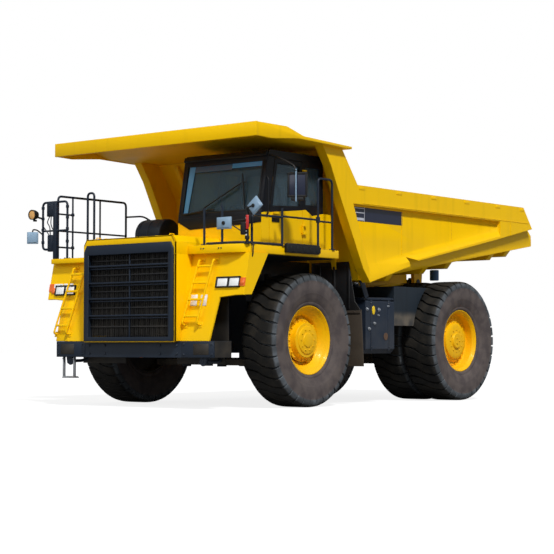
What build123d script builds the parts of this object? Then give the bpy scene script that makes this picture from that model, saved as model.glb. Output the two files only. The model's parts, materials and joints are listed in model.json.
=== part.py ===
from build123d import *
import math
import os

# Mining dump truck: a rigid two-axle hauler with a tipping body.
# Millimetres. X points to the truck's left (the cab side), -Y is forwards, +Z is up.
# Stations along the truck are measured from the front axle, as on its data sheet, and
# write_node() moves them so that the origin lies under the middle of the whole truck.

# ---------------------------------------------------------------- driving dimensions
wheelbase = 4300.0
front_overhang = 2110.0          # front axle to the grille's face
rear_overhang = 2945.0           # rear axle to the body's tail
overall_height = 4400.0          # ground to the top of the canopy, body down
mirror_span = 4900.0             # over the mirrors
front_tread = 3515.0
rear_tread = 3080.0              # between the middles of the twin wheels
dual_spacing = 710.0

tyre_radius = 1072.0             # to the flat of a lug, so also the height of the axles
tyre_width = 655.0
lug_depth = 62.0
lug_count = 36
lug_share = 0.62                 # part of a lug's pitch that is rubber
shoulder_bevel = 57.0
rim_radius = 556.0
rim_width = 470.0
bearing_clearance = 0.05         # radial, on every journal and pin
frame_gap = 660.0                # between the frame's two rails
rail_width = 120.0
frame_bottom = 900.0
deck_bottom = 2400.0
deck_thickness = 130.0
deck_half_width = 2120.0
body_half_width = 2100.0
body_inner_half_width = 1935.0
canopy_half_width = 2210.0
pivot_station = wheelbase + 1050.0   # the body's hinge behind the front axle
pivot_height = 2200.0

spindle_radius = 75.0
axle_end_radius = 195.0
kingpin_x = 1200.0
kingpin_radius = 70.0
lower_ball_radius = 45.0
steering_arm = 520.0
track_pin_radius = 30.0
hoist_x = 640.0
hoist_foot = (wheelbase - 1000.0, 1000.0)    # (station, height) of the lower pin
hoist_eye = (wheelbase - 1250.0, 2250.0)     # and of the pin on the body, body down
hoist_pin_radius = 45.0
pivot_pin_radius = 60.0

overall_length = front_overhang + wheelbase + rear_overhang
front_axle_y = -overall_length / 2 + front_overhang
deck_top = deck_bottom + deck_thickness
axle_height = tyre_radius
front_wheel_x = front_tread / 2
rear_outer_x = (rear_tread + dual_spacing) / 2
rear_inner_x = (rear_tread - dual_spacing) / 2
rail_inner_x = frame_gap / 2
rail_outer_x = rail_inner_x + rail_width

os.makedirs("parts", exist_ok=True)


# ---------------------------------------------------------------- helpers
def write_node(name, *solids):
    """Moves the solids from front axle stations to the part's frame and writes one node."""
    moved = [Pos(0, front_axle_y, 0) * solid for solid in solids]
    shape = moved[0] if len(moved) == 1 else Compound(children=flat_solids(moved))
    export_step(shape, f"parts/{name}.step")


def flat_solids(shapes):
    return [solid for shape in shapes for solid in shape.solids()]


def block(x, y, z):
    """A box from three (low, high) ranges."""
    sizes = [high - low for low, high in (x, y, z)]
    middles = [(high + low) / 2 for low, high in (x, y, z)]
    return Pos(*middles) * Box(*sizes)


def span_block(x1, x2, y, z):
    """A box between two x in either order."""
    return block((min(x1, x2), max(x1, x2)), y, z)


def side_prism(outline, x_low, x_high, grow=0):
    """An outline of (y, z) points, grown by an amount all round, carried along X."""
    face = make_face(Polyline(*outline, close=True))
    if grow:
        face = offset(face, amount=grow, kind=Kind.INTERSECTION)
    return Pos(x_low, 0, 0) * extrude(Plane.YZ * face, amount=x_high - x_low)


def front_prism(outline, y_low, y_high):
    """An outline of (x, z) points carried along Y."""
    face = make_face(Plane.XZ * Polyline(*outline, close=True))
    return Pos(0, y_high, 0) * extrude(face, amount=y_high - y_low)


def plan_prism(outline, z_low, z_high):
    """An outline of (x, y) points carried up Z."""
    face = make_face(Polyline(*outline, close=True))
    return Pos(0, 0, z_low) * extrude(face, amount=z_high - z_low)


def rod(start, end, radius):
    """A round bar between two points."""
    run = Vector(*end) - Vector(*start)
    place = Plane(origin=start, z_dir=run.normalized())
    return place * Cylinder(radius, run.length, align=(Align.CENTER, Align.CENTER, Align.MIN))


def bent_tube(corners, radius, bend):
    """A round bar bent through its corners."""
    path = FilletPolyline(*corners, radius=bend) if len(corners) > 2 else Line(*corners)
    section = Plane(origin=corners[0], z_dir=path % 0) * Circle(radius)
    return sweep(section, path=path)


def fuse(solids):
    whole = solids[0]
    for solid in solids[1:]:
        whole = whole + solid
    return whole


def mirrored(shape):
    return mirror(shape, about=Plane.YZ)


def both_sides(shape):
    return [shape, mirrored(shape)]


def part_within(shape, x, y, z):
    """The solids of a shape that lie in a box."""
    return (shape & block(x, y, z)).solids()


def ring_point(x, radius, angle):
    return (x, radius * math.cos(angle), radius * math.sin(angle))


def flat_face(points):
    return Face(Wire.make_polygon(points, close=True))


def faceted_turning(profile):
    """A closed (x, radius) profile turned about X, one flat facet to a lug's pitch."""
    step = 2 * math.pi / lug_count
    stretch = 1 / math.cos(step / 2)
    faces = []
    for (x1, r1), (x2, r2) in zip(profile, profile[1:] + profile[:1]):
        if r1 == 0 and r2 == 0:
            continue
        for index in range(lug_count):
            low = (index - 0.5) * step - math.pi / 2
            high = low + step
            corners = [ring_point(x1, r1 * stretch, low), ring_point(x2, r2 * stretch, low)]
            if r2 > 0:
                corners.append(ring_point(x2, r2 * stretch, high))
            if r1 > 0:
                corners.append(ring_point(x1, r1 * stretch, high))
            if r1 == 0:
                corners = corners[:3]
            faces.append(flat_face(corners))
    return closed_solid(faces)


def closed_solid(faces):
    solid = Solid(Shell(faces))
    return solid if solid.volume > 0 else Solid(-Shell(faces))


# ---------------------------------------------------------------- wheels
# Each lug and the groove after it is a flat-sided bar right across the tread. The sidewall
# swells to its widest at the belly ring and comes in to the bead on the rim.
def make_tyre():
    pitch = 2 * math.pi / lug_count
    half_lug = pitch * lug_share / 2
    top = tyre_radius / math.cos(half_lug)
    root = tyre_radius - lug_depth
    root_x = tyre_width / 2 - 12
    top_x = root_x - shoulder_bevel
    belly_x = tyre_width / 2
    belly = (rim_radius + root) / 2 + 55
    bead = rim_radius / math.cos(pitch / 2)
    bead_x = rim_width / 2
    faces = []
    for index in range(lug_count):
        centre = index * pitch - math.pi / 2
        front, back = centre - half_lug, centre + half_lug
        after = centre + pitch - half_lug
        lug_side = [(-root_x, root), (-top_x, top), (top_x, top), (root_x, root)]
        for angle in (front, back):
            faces.append(flat_face([ring_point(x, r, angle) for x, r in lug_side]))
        for (x1, r1), (x2, r2) in zip(lug_side, lug_side[1:]):
            corners = [(x1, r1, front), (x2, r2, front), (x2, r2, back), (x1, r1, back)]
            faces.append(flat_face([ring_point(*corner) for corner in corners]))
        groove = [(-root_x, back), (root_x, back), (root_x, after), (-root_x, after)]
        faces.append(flat_face([ring_point(x, root, angle) for x, angle in groove]))
        low, high = centre - pitch / 2, centre + pitch / 2
        for side in (-1, 1):
            wall = [ring_point(side * root_x, root, angle) for angle in (front, back, after)]
            belly_edge = [ring_point(side * belly_x, belly, angle) for angle in (low, high)]
            bead_edge = [ring_point(side * bead_x, bead, angle) for angle in (low, high)]
            faces.append(flat_face([wall[0], wall[1], belly_edge[0]]))
            faces.append(flat_face([wall[1], belly_edge[1], belly_edge[0]]))
            faces.append(flat_face([wall[1], wall[2], belly_edge[1]]))
            faces.append(flat_face(belly_edge + bead_edge[::-1]))
        bore = [(-bead_x, low), (bead_x, low), (bead_x, high), (-bead_x, high)]
        faces.append(flat_face([ring_point(x, bead, angle) for x, angle in bore]))
    return closed_solid(faces)


# Rim profiles are (x, radius) points. x is measured from the middle of the tyre, outwards.
front_rim_profile = [
    (-rim_width / 2, rim_radius), (rim_width / 2, rim_radius), (rim_width / 2, 525),
    (75, 490), (60, 300), (75, 235), (205, 215), (215, 0),
    (150, 0), (150, spindle_radius + bearing_clearance),
    (-150, spindle_radius + bearing_clearance), (-150, 200), (-40, 260), (-60, 490),
    (-rim_width / 2, 525),
]


def make_front_rim():
    return faceted_turning(front_rim_profile)


def make_rear_rims():
    """Both rims of a twin wheel on one hub, with the final drive's cover, x from the centreline."""
    outer_face = rear_outer_x + rim_width / 2
    outer_back = rear_outer_x - rim_width / 2
    inner_face = rear_inner_x + rim_width / 2
    inner_back = rear_inner_x - rim_width / 2
    bore = axle_end_radius + bearing_clearance
    profile = [
        (inner_back, rim_radius), (inner_face, rim_radius), (inner_face, 515), (outer_back, 515),
        (outer_back, rim_radius), (outer_face, rim_radius), (outer_face, 525),
        (outer_face - 170, 490), (outer_face - 185, 350), (outer_face - 95, 325),
        (outer_face - 80, 130), (outer_face - 50, 120), (outer_face - 50, 0),
        (outer_face - 230, 0), (outer_face - 230, bore), (inner_back, bore), (inner_back, 300),
        (inner_face + 60, 330), (inner_face + 40, 490), (inner_back, 525),
    ]
    return faceted_turning(profile)


tyre = make_tyre()
front_rim = make_front_rim()
rear_rims = make_rear_rims()
for side_name, side in (("left", 1), ("right", -1)):
    turn = Rot(0, 0, 0) if side > 0 else Rot(0, 0, 180)
    front_place = Pos(side * front_wheel_x, 0, axle_height) * turn
    write_node(f"front_tyre_{side_name}", front_place * tyre)
    write_node(f"front_rim_{side_name}", front_place * front_rim)
    twin = [Pos(side * x, wheelbase, axle_height) * turn * tyre for x in (rear_inner_x, rear_outer_x)]
    write_node(f"rear_tyres_{side_name}", *twin)
    write_node(f"rear_rims_{side_name}", Pos(0, wheelbase, axle_height) * turn * rear_rims)


# ---------------------------------------------------------------- main frame
# Two box rails, deep and low at the front, kick up over the rear axle to the body's pivot.
rail_rear = wheelbase + 1260
rail_outline = [
    (-1880, frame_bottom), (wheelbase - 2800, frame_bottom), (wheelbase - 1300, 1440), (rail_rear, 1600),
    (rail_rear, 2020), (wheelbase - 1000, 1960), (wheelbase - 2600, 1400), (wheelbase - 2900, 1350), (-1880, 1350),
]
# station range, height range
cross_member_table = [
    ((-1880, -1740), (920, 1300)),
    ((900, 1060), (960, 1290)),
    ((wheelbase - 1920, wheelbase - 1780), (1330, 1520)),
    ((wheelbase + 600, wheelbase + 780), (1640, 1940)),
]
tank_outer_x = 1900
tank_inner_x = 1300
tank_front = wheelbase - 2620
tank_rear = wheelbase - 1770
guard_inner_x = 1000
guard_rear = wheelbase - 740
strut_clamp_height = (1840, 2040)
strut_radius = 110
strut_height = (1300, 2150)
tower_plate = 60


def make_rails_and_members():
    rails = both_sides(side_prism(rail_outline, rail_inner_x, rail_outer_x))
    members = [block((-rail_inner_x, rail_inner_x), stations, heights) for stations, heights in cross_member_table]
    return rails + members


def make_frame_towers():
    """The plates and clamps that carry the front struts, and the posts under the deck's rear."""
    tower_x = rail_outer_x + tower_plate
    tower = side_prism([(-260, 1300), (260, 1300), (150, 2060), (-150, 2060)], rail_outer_x, tower_x)
    clamp = block((tower_x, kingpin_x), (-110, 110), strut_clamp_height)
    clamp -= rod((kingpin_x, 0, 1500), (kingpin_x, 0, 2300), strut_radius)
    deck_post = block((rail_outer_x, rail_outer_x + 80), (480, 620), (1300, deck_bottom))
    return both_sides(tower) + both_sides(clamp) + both_sides(deck_post)


def make_frame_brackets():
    """Arms out to the tanks and guards, and the ears that hold the lower arms."""
    brackets = []
    for station in (tank_front + 80, tank_rear - 190):
        brackets += both_sides(block((rail_outer_x, tank_inner_x), (station, station + 100), (1180, 1330)))
    brackets += both_sides(block((rail_outer_x, guard_inner_x), (tank_rear + 70, tank_rear + 170), (1500, 1600)))
    for station in (-330, 230):
        brackets += both_sides(block((rail_inner_x, rail_outer_x), (station, station + 100), (640, frame_bottom)))
    return brackets


def make_body_mounts(rails):
    """What carries the body: its pivot, the rest pads and the hoists' feet, with the rear springs' arms."""
    ear = side_prism([(pivot_station - 150, 1960), (pivot_station - 150, 2150), (pivot_station - 60, 2290),
                      (pivot_station + 60, 2290), (pivot_station + 150, 2150), (pivot_station + 150, 1960)],
                     rail_inner_x + 20, rail_outer_x - 20)
    pivot = rod((-rail_outer_x - 90, pivot_station, pivot_height),
                (rail_outer_x + 90, pivot_station, pivot_height), pivot_pin_radius)
    pivot += ear + mirrored(ear)
    station, height = hoist_foot
    foot = side_prism([(station - 150, height + 500), (station - 120, height - 70), (station - 50, height - 100),
                       (station + 50, height - 100), (station + 120, height - 70), (station + 160, height + 500)],
                      rail_outer_x, rail_outer_x + 40)
    foot += rod((rail_outer_x, *hoist_foot), (hoist_x + 70, *hoist_foot), hoist_pin_radius)
    spring_arm = block((rail_outer_x, 640), (wheelbase + 100, wheelbase + 260), (1700, 1850))
    mounts = [pivot] + both_sides(foot) + both_sides(spring_arm)
    for low, high, bottom in ((wheelbase - 950, wheelbase - 650, 1900), (wheelbase + 200, wheelbase + 500, 1950)):
        mounts += both_sides(block((rail_inner_x + 15, rail_inner_x + 85), (low, high), (bottom, 2087)))
    return [mount - rails for mount in mounts]


frame_members = make_rails_and_members()
frame_rails = fuse(frame_members[:2])
write_node("main_frame", *frame_members)
write_node("frame_towers", *make_frame_towers())
write_node("frame_brackets", *make_frame_brackets())
write_node("body_mounts", *make_body_mounts(frame_rails))


# ---------------------------------------------------------------- front suspension and steering
def make_front_strut():
    low, high = strut_height
    strut = rod((kingpin_x, 0, low), (kingpin_x, 0, high), strut_radius)
    return strut - rod((kingpin_x, 0, low - 1), (kingpin_x, 0, 1750), kingpin_radius + bearing_clearance)


def make_lower_arm():
    outer = [(rail_outer_x, -330), (kingpin_x + 20, -90), (kingpin_x + 20, 90), (rail_outer_x, 330)]
    inner = [(rail_outer_x - 1, -215), (950, -50), (950, 50), (rail_outer_x - 1, 215)]
    arm = plan_prism(outer, 660, 760) - plan_prism(inner, 650, 770)
    arm += rod((kingpin_x, 0, 660), (kingpin_x, 0, 760), 100)
    return arm - rod((kingpin_x, 0, 650), (kingpin_x, 0, 770), lower_ball_radius + bearing_clearance)


def make_knuckle():
    knuckle = rod((kingpin_x, 0, 800), (kingpin_x, 0, 1260), 125)
    knuckle += rod((kingpin_x, 0, 1200), (kingpin_x, 0, 1700), kingpin_radius)
    knuckle += rod((kingpin_x, 0, 650), (kingpin_x, 0, 850), lower_ball_radius)
    knuckle += rod((kingpin_x, 0, axle_height), (front_wheel_x + 145, 0, axle_height), spindle_radius)
    knuckle += rod((kingpin_x + 80, 0, axle_height), (front_wheel_x - 175, 0, axle_height), 170)
    knuckle += block((kingpin_x - 50, kingpin_x + 50), (0, steering_arm), (800, 870))
    knuckle += rod((kingpin_x, steering_arm, 800), (kingpin_x, steering_arm, 870), 60)
    return knuckle + rod((kingpin_x, steering_arm, 700), (kingpin_x, steering_arm, 860), track_pin_radius)


def make_tie_rod():
    bar = rod((-kingpin_x, steering_arm, 750), (kingpin_x, steering_arm, 750), 32)
    for side in (-1, 1):
        bar += rod((side * kingpin_x, steering_arm, 715), (side * kingpin_x, steering_arm, 785), 56)
    for side in (-1, 1):
        bore = track_pin_radius + bearing_clearance
        bar -= rod((side * kingpin_x, steering_arm, 690), (side * kingpin_x, steering_arm, 800), bore)
    return bar


write_node("front_struts", *both_sides(make_front_strut()))
write_node("front_lower_arms", *both_sides(make_lower_arm()))
knuckle = make_knuckle()
write_node("knuckle_left", knuckle)
write_node("knuckle_right", mirrored(knuckle))
write_node("tie_rod", make_tie_rod())


# ---------------------------------------------------------------- driveline and rear axle
pinion_face = wheelbase - 540
pinion_height = 1085
gearbox_rear = 1900


def make_rear_axle():
    axle_end = rear_outer_x + rim_width / 2 - 235
    axle = rod((-axle_end, wheelbase, axle_height), (axle_end, wheelbase, axle_height), axle_end_radius)
    swell = [(0, 0), (0, 425), (180, 425), (420, 260), (800, 240), (840, 0)]
    half = revolve(make_face(Polyline(*swell, close=True)), Axis.X)
    half = Pos(0, wheelbase, axle_height) * half
    axle += half + mirrored(half)
    axle += rod((0, pinion_face, pinion_height), (0, wheelbase, pinion_height), 120)
    for side in (-1, 1):
        axle += rod((side * 40, wheelbase - 1680, 1400), (side * 300, wheelbase - 160, 1130), 70)
        axle += span_block(side * 480, side * 640, (wheelbase, wheelbase + 260), (1150, 1270))
    return axle + block((-120, 120), (wheelbase - 1780, wheelbase - 1600), (1330, 1480))


rear_axle = make_rear_axle()
write_node("rear_axle", rear_axle)
spring_station = wheelbase + 180
rear_spring = rod((560, spring_station, 1270), (560, spring_station, 1700), 85) - rear_axle
write_node("rear_springs", *both_sides(rear_spring))
write_node("engine_block", block((-rail_inner_x, rail_inner_x), (-1500, -150), (960, 2150)))
write_node("driveline", block((-rail_inner_x, rail_inner_x), (1150, gearbox_rear), (1020, 1500))
           + rod((0, gearbox_rear, pinion_height), (0, pinion_face, pinion_height), 60))


# ---------------------------------------------------------------- tanks
guard_clearance = 125


def make_tank():
    outline = [(tank_inner_x, 930), (1380, 850), (1820, 850), (tank_outer_x, 930),
               (tank_outer_x, 1730), (1820, 1810), (1380, 1810), (tank_inner_x, 1730)]
    return front_prism(outline, tank_front, tank_rear)


def make_guard():
    """A box behind the tank, hollowed to follow the rear tyre."""
    guard = block((guard_inner_x, tank_outer_x), (tank_rear, guard_rear), (1330, 2010))
    reach = tyre_radius + guard_clearance
    return guard - rod((900, wheelbase, axle_height), (2000, wheelbase, axle_height), reach)


write_node("tanks", *both_sides(make_tank()))
write_node("rear_guards", *both_sides(make_guard()))


# ---------------------------------------------------------------- front end
grille_half_width = 973
grille_height = (1055, 2588)
grille_front = -front_overhang
hood_half_width = 990
hood_front = -1985
hood_top = 2690
bumper_front = -2000
bumper_half_width = 1715
bumper_height = (800, 1055)
fender_lean = 12.0
fender_fold = (-1807, 1754)      # (station, height) of the fender's lower front edge
fender_plate = 30
bar_heights = (1450, 1720, 1970, 2240)
slat_count = 22


tow_pin_radius = 32
tow_lug_x = (1475, 1525)


def make_bumper():
    low, high = bumper_height
    lug = side_prism([(-1960, low + 10), (-1940, 700), (-1900, 680), (-1860, 700), (-1840, low + 10)], *tow_lug_x)
    lug -= rod((tow_lug_x[0] - 5, -1900, 735), (tow_lug_x[1] + 5, -1900, 735), tow_pin_radius)
    bumper = block((-bumper_half_width, bumper_half_width), (-1930, -1880), (low, high))
    bumper += block((-1060, 1060), (bumper_front, -1880), (low, high))
    end = block((1310, bumper_half_width), (bumper_front, -1600), (low, high))
    rim_low = block((1060, 1310), (bumper_front, -1930), (low, low + 35))
    rim_high = block((1060, 1310), (bumper_front, -1930), (high - 35, high))
    for piece in (end, rim_low, rim_high, lug):
        bumper += piece
        bumper += mirrored(piece)
    return bumper


def make_front_step():
    """The lowest step hangs under the bumper from two straps."""
    legs = [block((x - 15, x + 15), (-1975, -1915), (500, bumper_height[0])) for x in (1100, 1460)]
    return fuse(legs) + block((1085, 1475), (-1990, -1850), (470, 510))


def make_grille():
    low, high = grille_height
    depth = (grille_front, hood_front)
    frame = block((-grille_half_width, grille_half_width), depth, (low, high))
    frame -= block((-grille_half_width + 90, grille_half_width - 90), (-2200, -1900), (low + 65, high - 155))
    for height in bar_heights:
        frame += block((-grille_half_width + 80, grille_half_width - 80), (-2085, -2045), (height - 24, height + 24))
    spacing = 2 * (grille_half_width - 90) / slat_count
    for index in range(1, slat_count):
        x = -grille_half_width + 90 + index * spacing
        frame += block((x - 6, x + 6), (-2050, -2010), (low + 60, high - 150))
    return frame


def make_hood():
    hood = block((-hood_half_width, hood_half_width), (hood_front, -990), (2600, hood_top))
    side = block((965, hood_half_width), (hood_front, -1450), (bumper_height[1], 2600))
    rear_side = block((965, hood_half_width), (-1450, -990), (deck_bottom, 2600))
    return hood + side + mirrored(side) + rear_side + mirrored(rear_side)


def fender_plane():
    lean = math.radians(fender_lean)
    origin = (0, *fender_fold)
    return Plane(origin=origin, x_dir=(1, 0, 0), z_dir=(0, -math.cos(lean), math.sin(lean)))


def make_fender():
    """The leaning front panel with its side, from the deck down to the bumper."""
    lean = math.radians(fender_lean)
    rise = (deck_bottom - fender_fold[1]) / math.cos(lean)
    drop = (fender_fold[1] - bumper_height[1]) / math.cos(lean)
    outline = [(hood_half_width, rise + 20), (2136, rise + 20), (2136, 0), (1980, 0), (1660, -30),
               (1570, -drop - 20), (hood_half_width, -drop - 20)]
    panel = extrude(fender_plane() * make_face(Polyline(*outline, close=True)), amount=-fender_plate)
    top_station = fender_fold[0] + (deck_bottom - fender_fold[1]) * math.tan(lean)
    side = side_prism([fender_fold, (-1620, 1760), (-1220, deck_bottom), (top_station, deck_bottom)],
                      2136 - fender_plate, 2136)
    fender = panel + side
    fender -= block((900, 2200), (-2500, -1000), (deck_bottom, 2600))
    return fender - block((900, 2200), (-2500, -1500), (900, bumper_height[1]))


def make_ladder():
    """Stringers and rungs stand off the leaning panel."""
    lean = math.radians(fender_lean)
    plane = fender_plane()

    def place(x, height, off):
        slant = (height - fender_fold[1]) / math.cos(lean)
        point = plane.origin + plane.x_dir * x + plane.y_dir * slant + plane.z_dir * off
        return tuple(point)
    parts = []
    for top_x, bottom_x in ((1210, 1040), (1510, 1350)):
        parts.append(bent_tube([place(top_x, 2290, 0), place(top_x, 2290, 75), place(bottom_x, 1300, 75),
                                place(bottom_x, 1300, 0)], 17, 40))
    for height in (1420, 1690, 1960, 2230):
        share = (height - 1300) / 990
        low_x, high_x = 1040 + 170 * share, 1350 + 160 * share
        parts.append(rod(place(low_x, height, 75), place(high_x, height, 75), 15))
    return fuse(parts)


def make_headlamps():
    plane = fender_plane()
    slant = (1948 - fender_fold[1]) / math.cos(math.radians(fender_lean))
    lamps = []
    for x_low, x_high in ((1583, 1793), (1823, 2022)):
        face = plane * Pos((x_low + x_high) / 2, slant, 0) * Rectangle(x_high - x_low, 128)
        lamps.append(extrude(face, amount=12))
    return lamps


def make_indicator():
    plane = fender_plane()
    slant = (1948 - fender_fold[1]) / math.cos(math.radians(fender_lean))
    face = plane * Pos(2084, slant, 0) * Rectangle(100, 128)
    return extrude(face, amount=14)


write_node("front_bumper", make_bumper())
write_node("front_steps", *both_sides(make_front_step()))
write_node("grille", make_grille())
write_node("radiator_core", block((-900, 900), (hood_front, -1885), (1150, 2500)))
write_node("hood", make_hood())
lamp_solids = [lamp for made in make_headlamps() for lamp in both_sides(made)]
write_node("headlamps", *lamp_solids)
write_node("indicators", *both_sides(make_indicator()))
write_node("fenders", *both_sides(make_fender()))
write_node("ladders", *both_sides(make_ladder()))


# ---------------------------------------------------------------- deck, rails and mirrors
cab_x = (50, 1800)
deck_rear = 650


def make_deck():
    outline = [(hood_half_width, -1800), (1850, -1800), (2030, -1730), (2100, -1600),
               (deck_half_width, deck_rear), (0, deck_rear), (0, -990), (hood_half_width, -990)]
    return plan_prism(outline, deck_bottom, deck_top)


post_radius = 19
bar_radius = 15
rail_bend = 90
rail_x = 2080
# posts and hoops: (x, station, height) corners of each bent tube
rail_tubes = [
    [(1293, -1750, deck_top), (1293, -1750, 3480)],
    [(1657, -1750, deck_top), (1657, -1750, 3330)],
    [(rail_x, -1550, deck_top), (rail_x, -1550, 2835), (rail_x, -810, 2835)],
    [(rail_x, -810, deck_top), (rail_x, -810, 3130)],
    [(rail_x, 115, deck_top), (rail_x, 115, 3710), (rail_x, 493, 3710), (rail_x, 493, deck_top)],
    [(-rail_x, -1620, deck_top), (-rail_x, -1620, 3500), (-rail_x, -170, 3500), (-rail_x, -170, deck_top)],
    [(-1600, -1750, deck_top), (-1600, -1750, 3410), (-2030, -1750, 3410), (-2030, -1750, deck_top)],
    [(-1030, -1740, deck_top), (-1030, -1740, 3480), (-1230, -1740, 3480), (-1230, -1740, deck_top)],
]
# straight bars between them: start, end
rail_bars = [
    ((1293, -1750, 3300), (1657, -1750, 3300)),
    ((rail_x, 115, 2900), (rail_x, 493, 2900)),
    ((-rail_x, -1620, 2910), (-rail_x, -170, 2910)),
    ((-rail_x, -900, deck_top), (-rail_x, -900, 3500)),
    ((-1600, -1750, 2910), (-2030, -1750, 2910)),
]
gate_height = 3000


def make_gate():
    """The bar across the doorway in the left rail, on a sleeve round its rear post."""
    bar = rod((rail_x, 95, gate_height), (rail_x, -785, gate_height), 16)
    bar += rod((rail_x, 115, gate_height - 45), (rail_x, 115, gate_height + 45), 34)
    bore = post_radius + bearing_clearance
    return bar - rod((rail_x, 115, gate_height - 60), (rail_x, 115, gate_height + 60), bore)


def make_rails():
    tubes = [bent_tube(corners, post_radius, rail_bend) for corners in rail_tubes]
    return fuse(tubes + [rod(start, end, bar_radius) for start, end in rail_bars])


def make_left_mirrors():
    """Two small mirrors at the deck's corner and the tall one beside the door."""
    stand = rod((rail_x, -1660, deck_top), (rail_x, -1660, 3080), 22)
    lower = block((1340, 1800), (-1800, -1770), (2760, 2980))
    arm = rod((1700, -1785, 2900), (rail_x, -1660, 2900), 12)
    tilt = math.radians(40)
    reach = 150 * math.cos(tilt) + 130 * math.sin(tilt)
    upper = Pos(mirror_span / 2 - reach, -1700, 3100) * Rot(0, -40, 0) * Box(300, 30, 260)
    upper += rod((rail_x, -1660, 3060), (mirror_span / 2 - reach, -1690, 3090), 12)
    inner, outer = (2140, -750), (mirror_span / 2 - 20, -617)
    turn = math.degrees(math.atan2(outer[1] - inner[1], outer[0] - inner[0]))
    middle = ((inner[0] + outer[0]) / 2, (inner[1] + outer[1]) / 2)
    tall = Pos(*middle, 3490) * Rot(0, 0, turn) * Box(math.dist(inner, outer), 40, 390)
    bar = rod((*middle, 3240), (*middle, 3770), 16)
    bar += rod((cab_x[1], -770, 3990), (*middle, 3755), 16) - block(cab_x, (-900, -600), (3900, 4100))
    return stand + lower + arm + upper, tall + bar


def make_right_mirrors():
    lamp_x = -mirror_span / 2 + 110
    lamp_arm = rod((-2030, -1750, 3180), (lamp_x, -1790, 3180), 16)
    lamp = rod((lamp_x, -1860, 3180), (lamp_x, -1740, 3180), 95)
    arm = rod((-2030, -1750, 2800), (-mirror_span / 2 + 150, -1815, 2800), 16)
    glass = block((-mirror_span / 2, -mirror_span / 2 + 250), (-1830, -1800), (2710, 2910))
    return lamp_arm + lamp, arm + glass


write_node("decks", make_deck(), mirrored(make_deck()))
rails = make_rails()
write_node("rails", rails)
write_node("rail_gate", make_gate())
write_node("mirrors", *[mirror_set - rails for mirror_set in (*make_left_mirrors(), *make_right_mirrors())])
write_node("air_cleaner", rod((-700, -350, deck_top + 250), (-1300, -350, deck_top + 250), 220)
           + block((-1200, -800), (-400, -300), (deck_top, deck_top + 250)))


# ---------------------------------------------------------------- cab
cab_wall = 50
# side outline of the cab, (station, height), floor to roof
cab_outline = [(-980, deck_top), (620, deck_top), (620, 3980), (540, 4080), (-770, 4080), (-815, 3990), (-980, 3040)]
cab_belt = [(-1100, 3040), (-900, 3080), (160, 3180), (330, 3090), (700, 3160)]
windscreen_heights = (3110, 3920)
door_outline = [(60, 2605), (60, 3945), (-640, 3945), (-780, 3130), (-780, 2605)]
door_window = [(-10, 3230), (-10, 3870), (-585, 3870), (-700, 3190)]
rear_quarter = [(150, 3260), (150, 3870), (520, 3870), (520, 3260)]
door_gap = 9
hinge_heights = (2800, 3700)
hinge_pin = 9
rear_window = ((200, 1650), (3250, 3850))


def make_cab_shell():
    low_x, high_x = cab_x
    shell = side_prism(cab_outline, low_x, high_x)
    shell -= side_prism(cab_outline, low_x + cab_wall, high_x - cab_wall, grow=-cab_wall)
    shell -= side_prism(door_outline, low_x - 10, high_x + 10, grow=door_gap)
    shell -= side_prism(rear_quarter, low_x - 10, high_x + 10)
    low, high = windscreen_heights
    shell -= block((low_x + 75, high_x - 75), (-1200, -700), (low, high))
    return shell - block(rear_window[0], (500, 700), rear_window[1])


def beyond_belt(height):
    """Everything of the cab between its belt line and a height."""
    outline = cab_belt + [(700, height), (-1100, height)]
    return side_prism(outline, cab_x[0] - 20, cab_x[1] + 20)


def make_cab_lower(shell):
    lower = shell - beyond_belt(4200)
    return lower + block((1150, 1800), (620, 870), (deck_top, 3140))


def make_cab_upper(shell):
    """The roof, the front frame, and the two sides and back behind the doors."""
    upper = shell - beyond_belt(2400)
    low_x, high_x = cab_x
    door_top = door_outline[1][1] + door_gap
    walls = (cab_belt[0][1] - 100, door_top)
    roof = part_within(upper, (low_x, high_x), (-1200, 800), (door_top, 4200))
    frame = part_within(upper, (low_x, high_x), (-1200, 0), walls)
    right = part_within(upper, (low_x, low_x + cab_wall), (0, 800), walls)
    back = part_within(upper, (low_x + cab_wall, high_x - cab_wall), (0, 800), walls)
    left = part_within(upper, (high_x - cab_wall, high_x), (0, 800), walls)
    return roof, [*frame, *right, *back, *left]


def make_door(side):
    """The slab with its window cut, flush with the cab's side."""
    low_x = cab_x[1] - cab_wall if side > 0 else cab_x[0]
    slab = side_prism(door_outline, low_x, low_x + cab_wall)
    slab -= side_prism(door_window, low_x - 10, low_x + cab_wall + 10)
    outer = low_x + cab_wall if side > 0 else low_x
    hinge_x, hinge_y = door_hinge(side)
    for height in hinge_heights:
        slab += span_block(outer, hinge_x, (hinge_y - 12, hinge_y + 8), (height, height + 90))
        slab += rod((hinge_x, hinge_y, height), (hinge_x, hinge_y, height + 90), 15)
        slab -= rod((hinge_x, hinge_y, height - 5), (hinge_x, hinge_y, height + 95), hinge_pin + bearing_clearance)
    return slab + span_block(outer, outer + side * 40, (-700, -560), (3060, 3090))


def door_hinge(side):
    """The upright hinge line outside the cab's wall, just ahead of the door's rear edge."""
    x = cab_x[1] + 24 if side > 0 else cab_x[0] - 24
    return x, door_outline[0][0] - 10


def make_door_hinges(side):
    """Pins on two brackets that reach round from the wall behind the door."""
    hinge_x, hinge_y = door_hinge(side)
    wall_x = cab_x[1] if side > 0 else cab_x[0]
    hinges = []
    for height in hinge_heights:
        hinge = rod((hinge_x, hinge_y, height - 30), (hinge_x, hinge_y, height + 120), hinge_pin)
        for low in (height - 30, height + 100):
            hinge += span_block(hinge_x - side * 10, hinge_x + side * 15, (hinge_y - 12, hinge_y + 30), (low, low + 20))
            hinge += span_block(wall_x, hinge_x + side * 15, (hinge_y + 24, hinge_y + 90), (low, low + 20))
        hinges.append(hinge)
    return hinges


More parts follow.
